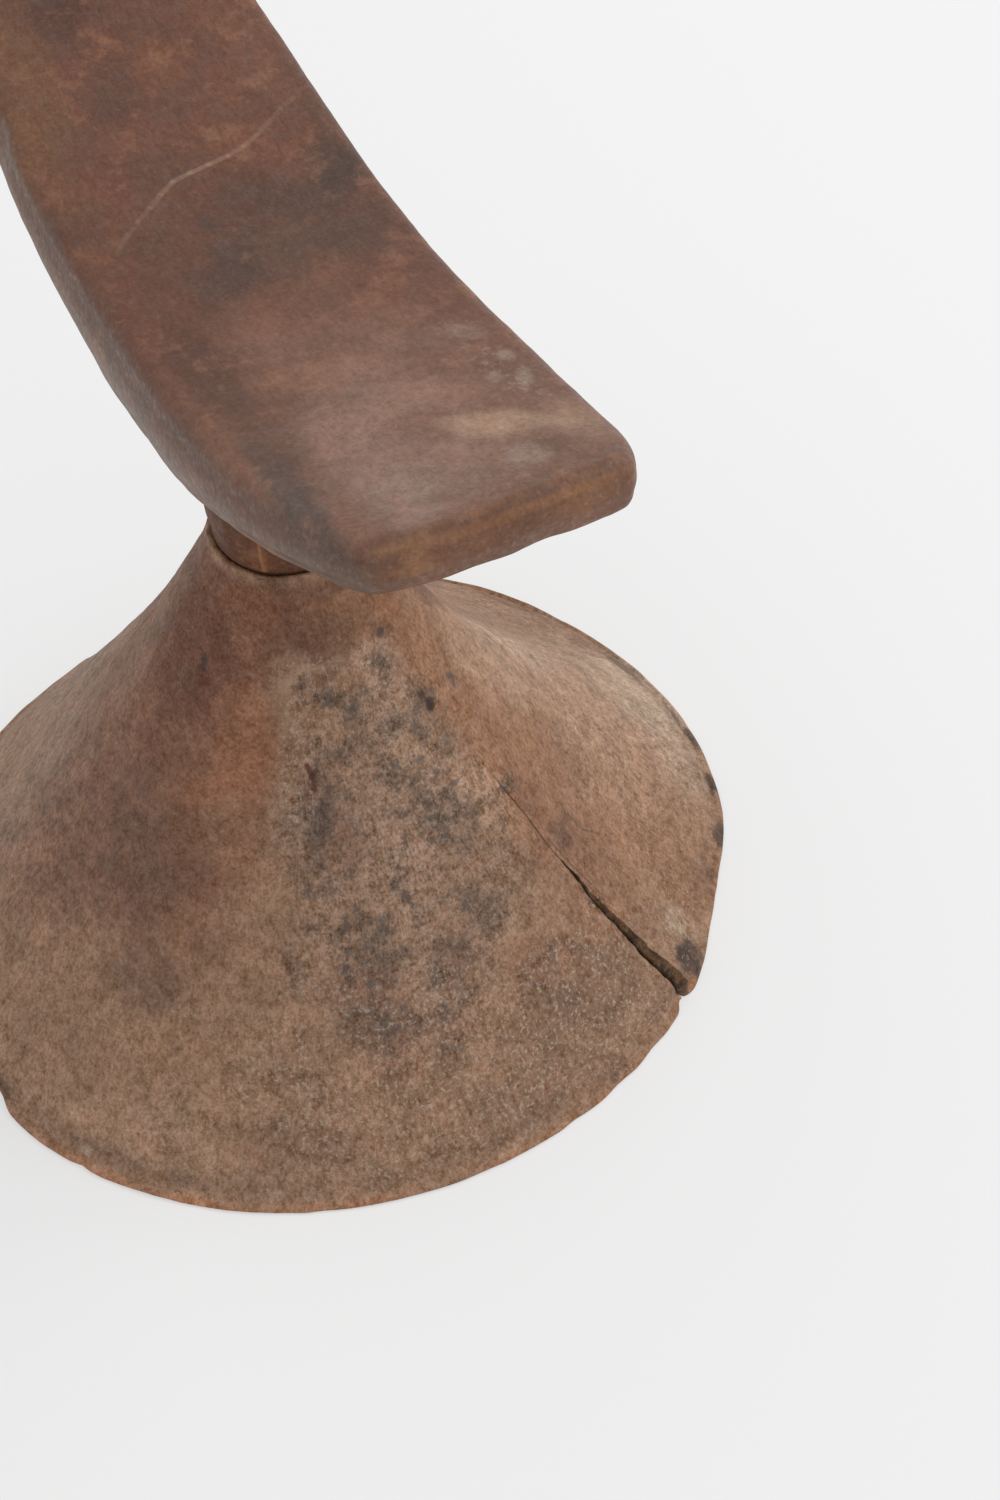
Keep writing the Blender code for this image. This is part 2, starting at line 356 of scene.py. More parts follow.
BASE_DENTS = [
    # angle, height, half width, half height, depth (minus stands proud)
    (-20.9, 64.5, 0.8, 2.2, 0.45),
    (-66.5, 76, 1.3, 1.2, 0.35),
    (-70, 78.5, 0.8, 1.4, 0.25),
    (28, 66.5, 0.9, 1.2, 0.55),
    (-40, 85, 5, 4, 0.35),
    (62, 36, 9, 8, 0.45),
    (78, 22, 8, 9, -0.4),
    (-60, 30, 9, 7, 0.4),
    (-95, 55, 7, 9, 0.5),
    (5, 30, 8, 9, 0.35),
    (128, 40, 9, 10, 0.5),
    (170, 28, 10, 8, -0.4),
    (185, 60, 7, 9, 0.5),
    (230, 45, 9, 9, 0.5),
    (-150, 20, 4, 5, 0.6),
    (160, 70, 1.2, 2.6, 0.4),
    (120, 83, 12, 8, 0.8),
    (-28.5, 74, 1.6, 8, -0.25),
    (-2, 81.5, 16, 1.4, -0.22),
]

CHECKS = [
    # drying checks: (angle, height) points, half width, depth
    ([(33.2, 52), (33.8, 44), (34, 37)], 0.30, 0.14),
    ([(106.5, 54.4), (97, 52), (89, 50.4), (86, 44.8)], 0.35, 0.30),
    ([(176, 2), (174.5, 14), (176, 25)], 0.40, 0.50),
    ([(-128, 70), (-129, 58), (-127, 49)], 0.30, 0.25),
]


def base_offsets(points, angle, height):
    """Distance in millimetres of each point, round the base and up its slope, from a place on it."""
    radius = np.hypot(points[:, 0], points[:, 1])
    round_way = np.radians(turn_between(np.degrees(np.arctan2(points[:, 1], points[:, 0])), angle)) * radius
    middle = base_place(angle, height)
    slope = np.hypot(radius - math.hypot(middle[0], middle[1]), points[:, 2] - height)
    return round_way, slope * np.sign(points[:, 2] - height)


def distance_to_path(points, path):
    nearest = np.full(len(points), 1e9)
    for start, end in zip(path[:-1], path[1:]):
        run = end - start
        share = np.clip(((points - start) @ run) / (run @ run), 0, 1)
        nearest = np.minimum(nearest, np.linalg.norm(points - start - share[:, None] * run, axis=1))
    return nearest


def outward(angle, height):
    """Unit normal of the smooth outer surface."""
    round_way = base_place(angle + 1.0, height) - base_place(angle - 1.0, height)
    up_way = base_place(angle, height + 0.5) - base_place(angle, height - 0.5)
    normal = np.cross(round_way, up_way)
    return normal / np.linalg.norm(normal)


def surface_path(places):
    return np.array([base_place(angle, height) for angle, height in places])


def worked_surface(points, angle, share):
    """How far each outer point stands proud of the plain cone, from carving, wear and drying."""
    fade = smooth(share / 0.10) * smooth((1 - share) / 0.05)
    raised = 0.34 * fractal(points, 24.0, 11) + 0.12 * fractal(points, 7.0, 23)
    raised += 0.035 * noise(points, 2.2, 31)
    raised *= fade
    raised -= 0.22 * bell(share, 0.040, 0.020)
    radius = np.hypot(points[:, 0], points[:, 1])
    facet = FACET_DEPTH * facet_cut(angle, ARRISES, FACET_ROUNDING)
    raised -= facet * radius * smooth(share / 0.25) * smooth((1 - share) / 0.30)
    for place in BASE_DENTS:
        across, up = base_offsets(points, place[0], place[1])
        raised -= place[4] * np.exp(-((across / place[2]) ** 2) - (up / place[3]) ** 2)
    for places, width, depth in CHECKS:
        off = distance_to_path(points, surface_path(places))
        raised -= depth * np.exp(-((off / width) ** 2))
    past = turn_between(angle, split_centre(radius))
    flap = np.where(past > 0, smooth(1 - past / FLAP_SPREAD), 0.0)
    raised += FLAP_RISE * flap * smooth((radius - SPLIT_TIP[0]) / 26) * smooth((1 - share) / 0.03)
    return raised


def outer_ring(share, is_open):
    middle = LIP_RADIUS + (rim_radius(SPLIT_TIP[1]) - LIP_RADIUS) * share
    angle = row_angles(middle, is_open, FLAP_BEVEL)
    cut = bells_at(angle, RIM_CHIPS) * smooth((share - 0.94) / 0.06)
    radius = LIP_RADIUS + (rim_radius(angle) - LIP_RADIUS) * share - cut
    height = height_at(angle, np.full_like(angle, share))
    turn = np.radians(angle)
    plain = around(turn, radius, height)
    raised = worked_surface(plain, angle, np.full_like(angle, share))
    return plain + around(turn, raised * OUTWARD_LEAN[0], raised * OUTWARD_LEAN[1])


def edge_ring(inset, height):
    """A ring of the worn outer edge or of the foot beneath it."""
    bevel = FLAP_BEVEL * min(height / EDGE_PROFILE[0][1], 1.0)
    angle = row_angles(rim_radius(SPLIT_TIP[1]) - inset, True, bevel)
    turn = np.radians(angle)
    outline = rim_radius(angle) - bells_at(angle, RIM_CHIPS) * (1 - inset / RIM_WIDTH)
    flat = around(turn, outline, 0.0)
    nibble = 0.11 * noise(flat, 3.0, 71) + 0.13 * noise(flat, 11.0, 72)
    radius = outline - inset + nibble * (1 - inset / RIM_WIDTH)
    return around(turn, radius, height * (1 + 0.25 * noise(flat, 6.0, 73)))


def hollow_ring(share, is_open):
    """A ring of the hollow beneath, where share is 1 at the foot and 0 on the axis."""
    angle = row_angles((rim_radius(SPLIT_TIP[1]) - RIM_WIDTH) * share, is_open)
    turn = np.radians(angle)
    radius = (rim_radius(angle) - RIM_WIDTH) * share
    height = HOLLOW_HEIGHT * (1 - share**HOLLOW_FULLNESS)
    points = around(turn, radius, height)
    fade = smooth((1 - share) / 0.06)
    scoop = np.abs(noise(points * (1, 1, 0.5), 9.0, 91)) * 0.9 + 0.25 * fractal(points, 4.0, 92)
    points[:, 2] += (scoop - 0.3) * fade
    return points


def lip_ring(radius, rise):
    """A ring of the lip or of the neck's seat inside it, worn near the top."""
    turn = np.radians(row_angles(SPLIT_TIP[0], False))
    flat = around(turn, LIP_RADIUS, 0.0)
    near_top = smooth((rise + 1.2) / 1.0)
    worn = near_top * (0.22 * noise(flat, 4.0, 51) + 0.10 * noise(flat, 1.6, 52))
    loose = 1 if radius > 12.0 else 0.2
    reach = radius + near_top * 0.12 * noise(flat, 5.0, 53) * loose
    return around(turn, reach, BASE_HEIGHT + rise + np.minimum(worn, 0.02))


# ---------------------------------------------------------------- base: mesh


class Rows:
    """Collects rings of points from top to bottom, and the faces between them."""

    def __init__(self):
        self.points = []
        self.index = []
        self.kind = []

    def add(self, ring, is_open, kind):
        start = len(self.points)
        count = COLUMNS + 1 if is_open else COLUMNS
        self.points.extend(ring[:count].tolist())
        self.kind.extend([kind] * count)
        numbers = start + np.arange(COLUMNS + 1)
        if not is_open:
            numbers[COLUMNS] = start
        self.index.append(numbers)
        return len(self.index) - 1

    def point(self, place, kind):
        self.points.append(list(place))
        self.kind.append(kind)
        return len(self.points) - 1


# The parts of the base that are coloured differently; CUT and TORN are the split's two kinds of wall.
OUTER, EDGE, FOOT, HOLLOW, LIP, SEAT, CUT, TORN = range(8)


def cut_face(rows, column, outer_rows, rim_rows, inner_rows, tip):
    """The torn wall on one side of the split, joined to every ring that ends there."""
    depth_count = len(tip)
    grid = np.zeros((len(outer_rows), depth_count), int)
    grid[0] = tip
    side = 1 if column == 0 else -1
    for step, (outer, inner) in enumerate(zip(outer_rows, inner_rows)):
        top = rows.index[outer][column]
        bottom = rows.index[inner][column]
        if step == 0:
            continue
        grid[step][0] = top
        grid[step][-1] = bottom
        if step == len(outer_rows) - 1:
            grid[step][1:-1] = [rows.index[row][column] for row in rim_rows]
            continue
        high, low = np.array(rows.points[top]), np.array(rows.points[bottom])
        bevel = FLAP_BEVEL * float(split_run(math.hypot(high[0], high[1]))) if column == 0 else 0.0
        for level in range(1, depth_count - 1):
            share = (level / (depth_count - 1)) ** 2
            place = high + (low - high) * share
            depth = float(np.linalg.norm(place - high))
            turn = math.atan2(place[1], place[0])
            tear = 0.30 * float(noise(place[None] * (1, 1, 0.3), 1.1, 61 + side)[0])
            move = tear * float(smooth(step / 8)) - bevel * float(smooth(depth / TORN_DEPTH)) * (1 - share)
            place = place + np.array([-math.sin(turn), math.cos(turn), 0.0]) * move
            is_torn = column == 0 and depth < 0.65 * TORN_DEPTH
            grid[step][level] = rows.point(place, TORN if is_torn else CUT)
    return grid_faces(grid, flip=column == 0)


def make_base():
    rows = Rows()
    for radius, rise in reversed(LIP_PROFILE):
        rows.add(lip_ring(radius, rise), False, LIP if rise > -0.8 else SEAT)
    tip_share = (SPLIT_TIP[0] - LIP_RADIUS) / (rim_radius(SPLIT_TIP[1]) - LIP_RADIUS)
    last_share = 1 - EDGE_INSET / (rim_radius(SPLIT_TIP[1]) - LIP_RADIUS)
    for share in np.linspace(0.0, tip_share, OUTER_CLOSED_ROWS):
        outer_tip = rows.add(outer_ring(share, False), False, OUTER)
    outer_rows = [outer_tip]
    for share in np.linspace(tip_share, last_share, OUTER_OPEN_ROWS + 1)[1:]:
        outer_rows.append(rows.add(outer_ring(share, True), True, OUTER))
    rim_rows = []
    for inset, height in EDGE_PROFILE:
        kind = EDGE if inset < 0.5 or height > 0.5 else FOOT
        rim_rows.append(rows.add(edge_ring(inset, height), True, kind))
    hollow_tip = SPLIT_TIP[0] / (rim_radius(SPLIT_TIP[1]) - RIM_WIDTH)
    inner_rows = []
    for share in np.linspace(1.0, hollow_tip, OUTER_OPEN_ROWS + 1)[:-1]:
        inner_rows.append(rows.add(hollow_ring(share, True), True, HOLLOW))
    for share in np.linspace(hollow_tip, 0.02, INNER_CLOSED_ROWS):
        row = rows.add(hollow_ring(share, False), False, HOLLOW)
        if len(inner_rows) == OUTER_OPEN_ROWS:
            inner_rows.append(row)
    inner_rows.reverse()
    faces = grid_faces(np.array(rows.index))
    faces += close_split(rows, outer_rows, rim_rows, inner_rows)
    faces.append(rows.index[0][:COLUMNS][::-1].tolist())
    faces.append(rows.index[-1][:COLUMNS].tolist())
    obj = mesh_object("base_carved", rows.points, faces)
    paint_base(obj, np.array(rows.kind))
    return obj


def close_split(rows, outer_rows, rim_rows, inner_rows):
    """Both torn walls, which share one upright line of points at the split's tip."""
    top = rows.index[outer_rows[0]][0]
    bottom = rows.index[inner_rows[0]][0]
    high, low = np.array(rows.points[top]), np.array(rows.points[bottom])
    tip = [top]
    levels = len(rim_rows) + 1
    for level in range(1, levels):
        tip.append(rows.point(high + (low - high) * (level / levels) ** 2, CUT))
    tip.append(bottom)
    faces = cut_face(rows, 0, outer_rows, rim_rows, inner_rows, tip)
    return faces + cut_face(rows, COLUMNS, outer_rows, rim_rows, inner_rows, tip)


# ---------------------------------------------------------------- base: colour

PALETTE = {
    "red_brown": (122, 86, 66),
    "dark_red": (94, 58, 39),
    "umber": (100, 76, 62),
    "grey_brown": (129, 105, 88),
    "olive_grey": (90, 77, 68),
    "tan": (140, 112, 90),
    "orange_tan": (142, 105, 77),
    "rust": (146, 98, 68),
    "pale_tan": (166, 138, 116),
    "bluish": (86, 73, 67),
    "char": (62, 48, 42),
    "bone": (184, 168, 150),
    "gouge_red": (92, 48, 32),
    "worn_orange": (160, 108, 74),
    # painted shade for the inside of the split
    "split_shade": (58, 44, 30),
    "inside": (112, 86, 66),
    "torn": (106, 82, 58),
    "lip_light": (162, 132, 108),
    "neck_brown": (100, 68, 50),
    "dark_red_brown": (108, 74, 57),
    "deep_brown": (84, 58, 46),
    "centre_grey": (92, 71, 61),
    "slate": (71, 58, 52),
    "pinkish": (126, 98, 85),
    "warm_tan": (156, 128, 106),
    "whitish": (168, 156, 146),
    "end_orange": (126, 88, 64),
    "edge_light": (150, 112, 82),
    # painted sheen for the platform's sides
    "side_sheen": (112, 94, 86),
    "under": (104, 74, 56),
    "olive_ochre": (118, 90, 66),
    # painted highlight for the neck's arris
    "arris_highlight": (205, 155, 118),
}
BASE_TONE = (1.05, 0.97, 0.91)

BASE_ZONES = [
    # angle, height, half angle, half height, colour, strength
    (0, 90, 180, 14, "dark_red", 0.75),
    (-70, 66, 44, 34, "red_brown", 0.95),
    (-75, 50, 20, 14, "umber", 0.60),
    (-90, 80, 34, 14, "dark_red", 0.70),
    (-42, 69, 13, 8, "rust", 0.45),
    (-53, 56, 14, 7, "rust", 0.35),
    (-60, 16, 40, 17, "tan", 0.70),
    (-50, 6, 30, 6, "pale_tan", 0.35),
    (0, 14, 34, 18, "tan", 0.60),
    (-30, 40, 12, 20, "tan", 0.55),
    (0, 52, 27, 30, "grey_brown", 0.75),
    (60, 50, 29, 46, "orange_tan", 0.85),
    (42, 62, 10, 15, "rust", 0.25),
    (58, 70, 20, 10, "orange_tan", 0.60),
    (66, 58, 12, 14, "pale_tan", 0.45),
    (84, 34, 26, 32, "pale_tan", 0.62),
    (100, 75, 22, 14, "red_brown", 0.60),
    (44, 34, 10, 14, "red_brown", 0.40),
    (-110, 45, 20, 40, "grey_brown", 0.45),
    (150, 40, 28, 34, "orange_tan", 0.55),
    (200, 45, 30, 34, "grey_brown", 0.60),
    (232, 62, 18, 20, "red_brown", 0.70),
    (175, 14, 30, 14, "tan", 0.60),
    (20, 86, 30, 5, "orange_tan", 0.55),
    (-45, 90, 16, 4, "rust", 0.45),
    (-24, 79.5, 12, 4, "pale_tan", 0.45),
    (14, 79, 11, 3.6, "pale_tan", 0.50),
    (0, 72, 5, 3, "umber", 0.45),
    (38, 85, 9, 4, "rust", 0.45),
    # painted shade: dark patch at the fold of the hollowed flank
    (84, 80, 19, 8, "dark_red", 0.80),
    (-94, 45, 14, 30, "red_brown", 0.40),
    (-60, 52, 13, 7, "umber", 0.40),
    (-95, 46, 4, 3, "umber", 0.40),
    (26, 52, 5, 8, "pale_tan", 0.45),
    (-2, 43, 10, 7, "pale_tan", 0.30),
    # painted highlight: pale grey sheen low on the far right, where the view grazes the surface
    (93, 9, 12, 11, "bone", 0.32),
    (104, 47, 7, 2.6, "umber", 0.55),
    # painted shade: dark patch at the fold of the hollowed flank
    (84, 76, 15, 10, "dark_red", 0.75),
    (-55, 90, 30, 4, "dark_red", 0.55),
    (14, 66, 8, 11, "pale_tan", 0.35),
    (-30, 60, 5, 9, "pale_tan", 0.40),
    (0, 56, 5, 4, "pale_tan", 0.35),
    (-14, 28, 8, 7, "umber", 0.50),
    (15, 16, 8, 4, "umber", 0.45),
    (2, 31, 6, 4, "umber", 0.35),
    (60, 40, 8, 7, "red_brown", 0.45),
    (45, 56, 5, 6, "red_brown", 0.40),
    (-60, 31, 9, 6, "umber", 0.60),
    # painted highlight: pale grey sheen low on the far right, where the view grazes the surface
    (86, 6, 18, 8, "bone", 0.35),
    (93, 40, 8, 11, "bone", 0.30),
    (36, 32, 10, 12, "red_brown", 0.25),
    (-16, 56, 6, 6, "umber", 0.45),
    (-14, 32, 5, 4, "umber", 0.40),
    (15, 32, 5, 4, "pale_tan", 0.30),
    (-46, 56, 6, 5, "tan", 0.40),
    (-46, 40, 6, 5, "umber", 0.35),
    # painted shade: dark patch at the fold of the hollowed flank
    (78, 81, 10, 5, "dark_red", 0.80),
    (-75, 65, 11, 7, "dark_red", 0.35),
    (18, 24, 7, 4, "red_brown", 0.35),
    (27, 12, 9, 6, "umber", 0.40),
    (6, 7, 14, 4, "umber", 0.30),
    (-32, 9, 10, 5, "umber", 0.30),
    (-8, 20, 9, 5, "red_brown", 0.25),
]

BASE_SPOTS = [
    # angle, height, half width, half height, tilt, colour, strength
    (-66.5, 76, 1.5, 0.9, 20, "gouge_red", 0.80),
    (-70, 78.5, 0.9, 1.3, -10, "char", 0.55),
    (-77, 74, 1, 3, 0, "umber", 0.55),
    (26.5, 68, 2.6, 2.6, 0, "bluish", 0.60),
    (28.2, 67, 0.7, 0.8, 0, "char", 1),
    (24, 81, 1, 0.9, 0, "bluish", 0.60),
    (43, 66, 1.5, 1.5, 0, "bluish", 0.65),
    (41.4, 3.4, 3.4, 4.6, 14, "char", 0.92),
    (39.2, 1.6, 1.5, 1.3, 0, "worn_orange", 0.80),
    (65.5, 0.8, 3.2, 2.3, 0, "char", 0.85),
    (74.5, 0.6, 3, 2.2, 0, "char", 0.88),
    (83, 1, 2.6, 1.6, 0, "char", 0.75),
    (58, 1.4, 1.2, 1.2, 0, "char", 0.55),
    (54.5, 1.2, 1.1, 1, 0, "char", 0.50),
    (88, 2, 5, 0.9, 0, "char", 0.70),
    (68, 12.6, 5, 1.2, 10, "bluish", 0.40),
    (89, 49, 1.8, 1, 30, "bluish", 0.45),
    (38.6, 35, 2, 4, 20, "umber", 0.55),
    (45, 8, 3.4, 2.6, 20, "bone", 0.35),
    (52, 12.5, 1.6, 1.4, 0, "bluish", 0.45),
    (19.6, 1.7, 1.2, 1, 0, "char", 0.75),
    (-59, 3, 1.1, 0.8, 0, "bone", 0.70),
    (-32, 3, 1.2, 0.9, 0, "bone", 0.45),
    (-76, 2, 3.6, 2.4, 0, "char", 0.65),
    (16, 0.5, 1.6, 0.8, 0, "worn_orange", 0.80),
    (-9, 5.5, 1.6, 1.1, 0, "gouge_red", 0.30),
    (100, 3, 5, 2, 0, "char", 0.60),
    (160, 70, 1.2, 2.6, 15, "gouge_red", 0.70),
    (186, 12, 3, 2.2, 0, "char", 0.45),
    (215, 33, 2.2, 3, 0, "bluish", 0.50),
    (143, 55, 2.4, 3.4, 0, "bluish", 0.40),
    (86, 52, 5, 1.2, 25, "bluish", 0.35),
]

MOTTLE_ZONES = [
    # angle, height, half angle, half height, strength: where grey-olive blotches lie
    (0, 58, 29, 25, 1.00),
    (-2, 36, 28, 18, 0.55),
    (-4, 12, 42, 14, 0.25),
    (-15, 77.4, 11, 2.6, 1.80),
    (16, 79, 12, 2.6, 0.90),
    (-15, 58, 7, 10, 1.30),
    (-3, 48, 6, 5, 1.10),
    (-15, 32, 6, 5, 1.20),
    (-5, 74, 9, 5, 1.00),
    (-16, 73, 9, 3, 1.10),
    (4, 66, 8, 6, 0.50),
    (-95, 40, 22, 24, 0.35),
    (205, 45, 28, 30, 0.80),
    (75, 30, 30, 22, 0.25),
]

FLECK_ZONES = [
    # angle, height, half angle, half height, strength: where pale crust and flecks lie
    (-6, 16, 38, 17, 0.75),
    (20, 12, 13, 9, 0.80),
    (-26, 68, 6, 11, 0.85),
    (10, 62, 20, 18, 0.45),
    (45, 8, 7, 6, 0.80),
    (28, 8, 8, 8, 0.70),
    (60, 60, 22, 16, 0.25),
    (200, 30, 40, 24, 0.50),
    (-14, 80.6, 17, 1.3, 1.30),
    (14, 79.6, 14, 1.3, 1.00),
    (-28, 70, 2.4, 9, 1.00),
]


def oval(across, up, half_across, half_up, tilt=0.0):
    """Distance from a tilted oval's middle, 1 at its edge."""
    turn = math.radians(tilt)
    along = across * math.cos(turn) + up * math.sin(turn)
    other = up * math.cos(turn) - across * math.sin(turn)
    return np.hypot(along / half_across, other / half_up)


def zone_mask(angle, height, place, wobble):
    """A soft patch on the base, given by half its angle and half its height."""
    off = oval(turn_between(angle, place[0]), height - place[1], place[2], place[3])
    return smooth((1.35 - off + wobble) / 0.8)


def blend(colours, other, share):
    return colours + (linear(PALETTE[other]) - colours) * np.clip(share, 0, 1)[:, None]


def paint_base(obj, kind):
    points = mesh_points(obj.data)
    angle = np.degrees(np.arctan2(points[:, 1], points[:, 0]))
    height = points[:, 2]
    wobble = 0.34 * fractal(points, 11.0, 101) + 0.12 * noise(points, 3.0, 105)
    colours = np.tile(linear(PALETTE["tan"]), (len(points), 1))
    for place in BASE_ZONES:
        colours = blend(colours, place[4], place[5] * zone_mask(angle, height, place, wobble))
    fine = 0.45 * fractal(points, 1.8, 111, 2)
    for place in BASE_SPOTS:
        across, up = base_offsets(points, place[0], place[1])
        off = oval(across, up, place[2], place[3], place[4])
        colours = blend(colours, place[5], place[6] * smooth((1.3 - off + 0.8 * fine) / 0.55))
    patchy = smooth(0.75 + 1.6 * noise(points, 3.4, 107))
    crest = bell(np.hypot(points[:, 0], points[:, 1]), 12.6, 0.6) * smooth((height - 94.2) / 0.5)
    under_lip = bell(height, 91.0, 2.2) * patchy * smooth(0.5 + wobble)
    front = smooth((62 - np.abs(turn_between(angle, -22.0))) / 14)
    under_edge = smooth((1.9 - height) / 0.7) * np.isin(kind, (OUTER, EDGE))
    band = bell(height, 3.6, 1.3) * (kind == OUTER)
    fibres = smooth(0.50 + 1.1 * noise(points * (1.0, 1.0, 0.35), 1.0, 121))
    washes = [
        ("rust", 0.45 * under_lip),
        ("lip_light", 0.85 * crest * (kind != SEAT) * (0.35 + 0.65 * patchy)),
        ("worn_orange", (0.15 + 0.5 * front) * under_edge * smooth(0.5 + 1.4 * wobble)),
        ("umber", 0.55 * band * smooth(0.55 + 1.2 * wobble)),
        ("tan", 0.6 * (kind == FOOT)),
        ("inside", 0.85 * (kind == HOLLOW)),
        # painted shade: both walls of the split are coloured near-black, and the torn parts get lighter
        # fibres over it
        ("split_shade", 1.0 * np.isin(kind, (CUT, TORN))),
        ("torn", fibres * (kind == TORN)),
        ("dark_red", 0.8 * (kind == SEAT)),
    ]
    for name, share in washes:
        colours = blend(colours, name, share)
    store_colour(obj.data, "paint", colours * BASE_TONE)

    mottle = 0.12 + sum(place[4] * zone_mask(angle, height, place, wobble) for place in MOTTLE_ZONES)
    fleck = 0.10 + sum(place[4] * zone_mask(angle, height, place, wobble) for place in FLECK_ZONES)
    plain = np.isin(kind, (HOLLOW, CUT, TORN, SEAT))
    is_wall = np.isin(kind, (CUT, TORN))
    store_marks(obj.data, np.where(plain, 0.3, mottle * 0.7), np.where(plain, 0.2, fleck), is_wall)
    slope = np.hypot(np.hypot(points[:, 0], points[:, 1]), BASE_HEIGHT - points[:, 2])
    turn = np.radians(angle)
    round_way = smooth((height - 45) / 25) * smooth((-20 - angle) / 20)
    reach = 55.0 * (1 - 0.6 * round_way)
    grain = around(turn, reach, slope * (0.38 + 0.62 * round_way))
    store_vector(obj.data, "grain", np.where(is_wall[:, None], points * (1.0, 1.0, 0.3), grain))


# ---------------------------------------------------------------- neck

NECK_ARRISES = np.array([-40.0, 12.0, 58.0, 104.0, 150.0, 205.0, 255.0, 290.0])
NECK_FACET_DEPTH = 0.45
NECK_TWIST = 3.0  # degrees that the arrises lean over NECK_TWIST_RISE of height
NECK_TWIST_RISE = 40
FOOT_RADIUS = 11.74
WAIST_RADIUS = 12.7
WAIST_RISE = 7.0
TOP_RADIUS = 16.0
FLARE_POWER = 2.6
NECK_RINGS = 64
TENON_RADIUS = 8.0
TENON_CHAMFER = 0.8
UPPER_TENON_RADIUS = 7.5
NECK_TONE = (0.60, 0.48, 0.37)


def neck_radius(rise):
    """The post's radius above the lip: a tucked-in foot with a small bead, then a flare to the platform."""
    bead = 0.20 * float(bell(rise, 0.95, 0.42))
    if rise <= WAIST_RISE:
        return FOOT_RADIUS + (WAIST_RADIUS - FOOT_RADIUS) * math.sin(math.pi / 2 * rise / WAIST_RISE) + bead
    share = (rise - WAIST_RISE) / (PLATFORM_SEAT - FIT_GAP - BASE_HEIGHT - WAIST_RISE)
    return WAIST_RADIUS + (TOP_RADIUS - WAIST_RADIUS) * share**FLARE_POWER + bead


def neck_rings():
    """(radius, height, how much it is worked) down the post, with a tenon at each end."""
    top = PLATFORM_SEAT - FIT_GAP
    foot = BASE_HEIGHT - LIP_DEPTH + FIT_GAP
    rings = [(1.0, NECK_TOP, 0.0), (UPPER_TENON_RADIUS - TENON_CHAMFER, NECK_TOP, 0.0)]
    rings += [(UPPER_TENON_RADIUS, NECK_TOP - TENON_CHAMFER, 0.0), (UPPER_TENON_RADIUS, top, 0.0)]
    rings += [(12.0, top, 0.0), (15.2, top, 0.0), (15.8, top - 0.12, 0.0)]
    for step in range(NECK_RINGS + 1):
        rise = (top - 0.5 - BASE_HEIGHT) * (1 - step / NECK_RINGS) ** 1.5
        worked = smooth(rise / 3.0) * smooth((top - BASE_HEIGHT - rise) / 4.0)
        rings.append((neck_radius(rise), BASE_HEIGHT + rise, float(worked)))
    rings += [(FOOT_RADIUS, BASE_HEIGHT - 0.1, 0.0), (FOOT_RADIUS, BASE_HEIGHT - 0.7, 0.0)]
    rings += [(11.6, foot + 0.1, 0.0), (11.4, foot, 0.0), (TENON_RADIUS, foot, 0.0)]
    bottom = NECK_BOTTOM
    for step in range(1, 6):
        rings.append((TENON_RADIUS, foot + (bottom + TENON_CHAMFER - foot) * step / 5, 0.0))
    rings += [(TENON_RADIUS - TENON_CHAMFER, bottom, 0.0), (1.0, bottom, 0.0)]
    return rings


def make_neck():
    angle = np.arange(NECK_COLUMNS) * 360 / NECK_COLUMNS
    turn = np.radians(angle)
    rings = []
    for radius, height, worked in neck_rings():
        plain = around(turn, radius, height)
        lean = NECK_TWIST * (height - BASE_HEIGHT) / NECK_TWIST_RISE
        cut = NECK_FACET_DEPTH * facet_cut((angle + lean) % 360, NECK_ARRISES, 0.0) * radius
        uneven = 0.20 * fractal(plain, 9.0, 201) + 0.06 * noise(plain, 2.5, 204)
        rings.append(around(turn, radius + worked * (uneven - cut), height))
    obj = turned_object("neck_carved", rings)
    paint_neck(obj)
    return obj


def paint_neck(obj):
    points = mesh_points(obj.data)
    angle = np.degrees(np.arctan2(points[:, 1], points[:, 0]))
    wobble = 0.4 * fractal(points, 7.0, 211)
    colours = np.tile(linear(PALETTE["neck_brown"]), (len(points), 1))
    colours = blend(colours, "rust", 0.45 * smooth(0.4 + wobble))
    # painted highlight: a thin light line down one arris, low on the post
    arris = NECK_ARRISES[0] - NECK_TWIST * (points[:, 2] - BASE_HEIGHT) / NECK_TWIST_RISE
    off = np.radians(turn_between(angle, arris)) * 12.5
    low = smooth((points[:, 2] - 95.3) / 0.8) * smooth((106 - points[:, 2]) / 6)
    colours = blend(colours, "arris_highlight", 0.85 * bell(off, 0.0, 0.32) * low)
    colours = blend(colours, "char", 0.15 * smooth((95.7 - points[:, 2]) / 0.6))
    colours = blend(colours, "umber", 0.45 * smooth((points[:, 2] - 118) / 14))
    store_colour(obj.data, "paint", colours * NECK_TONE)
    store_marks(obj.data, 0.25, 0.1, 0.0)
    store_vector(obj.data, "grain", around(np.radians(angle), 13, points[:, 2] / 5))


# ---------------------------------------------------------------- head platform: outline and section

# Half of each side as (x, distance from the middle line), then each end's bow and the corners as (x, y).
RIGHT_SIDE = [(0.0, 23.8), (25.0, 23.9), (41.0, 23.8), (53.0, 23.2), (63.0, 22.3), (70.0, 21.3)]
LEFT_SIDE = [(0.0, 24.1), (25.0, 24.0), (40.0, 23.2), (52.0, 21.9), (61.0, 20.1), (67.0, 18.8)]
NEAR_END = [(76.8, 15.6), (76.9, 8.0), (76.9, 1.0), (76.2, -7.0), (75.0, -13.0)]
FAR_END = [(-75.8, -14.0), (-76.6, -6.0), (-76.8, 2.0), (-76.2, 9.0), (-75.4, 14.5)]
CORNERS = ((-74.2, -16.4), (72.8, -16.9), (75.6, 18.8), (-74.0, 17.2))
OUTLINE_POINTS = 6000
TOP_EDGE = 2.5
BOTTOM_EDGE = 1.8
END_TUCK = 0.9
SIDE_BULGE = 1.0
END_THICKNESS = 8.5
MIDDLE_EXTRA = 8.5
THICK_REACH = 76.0


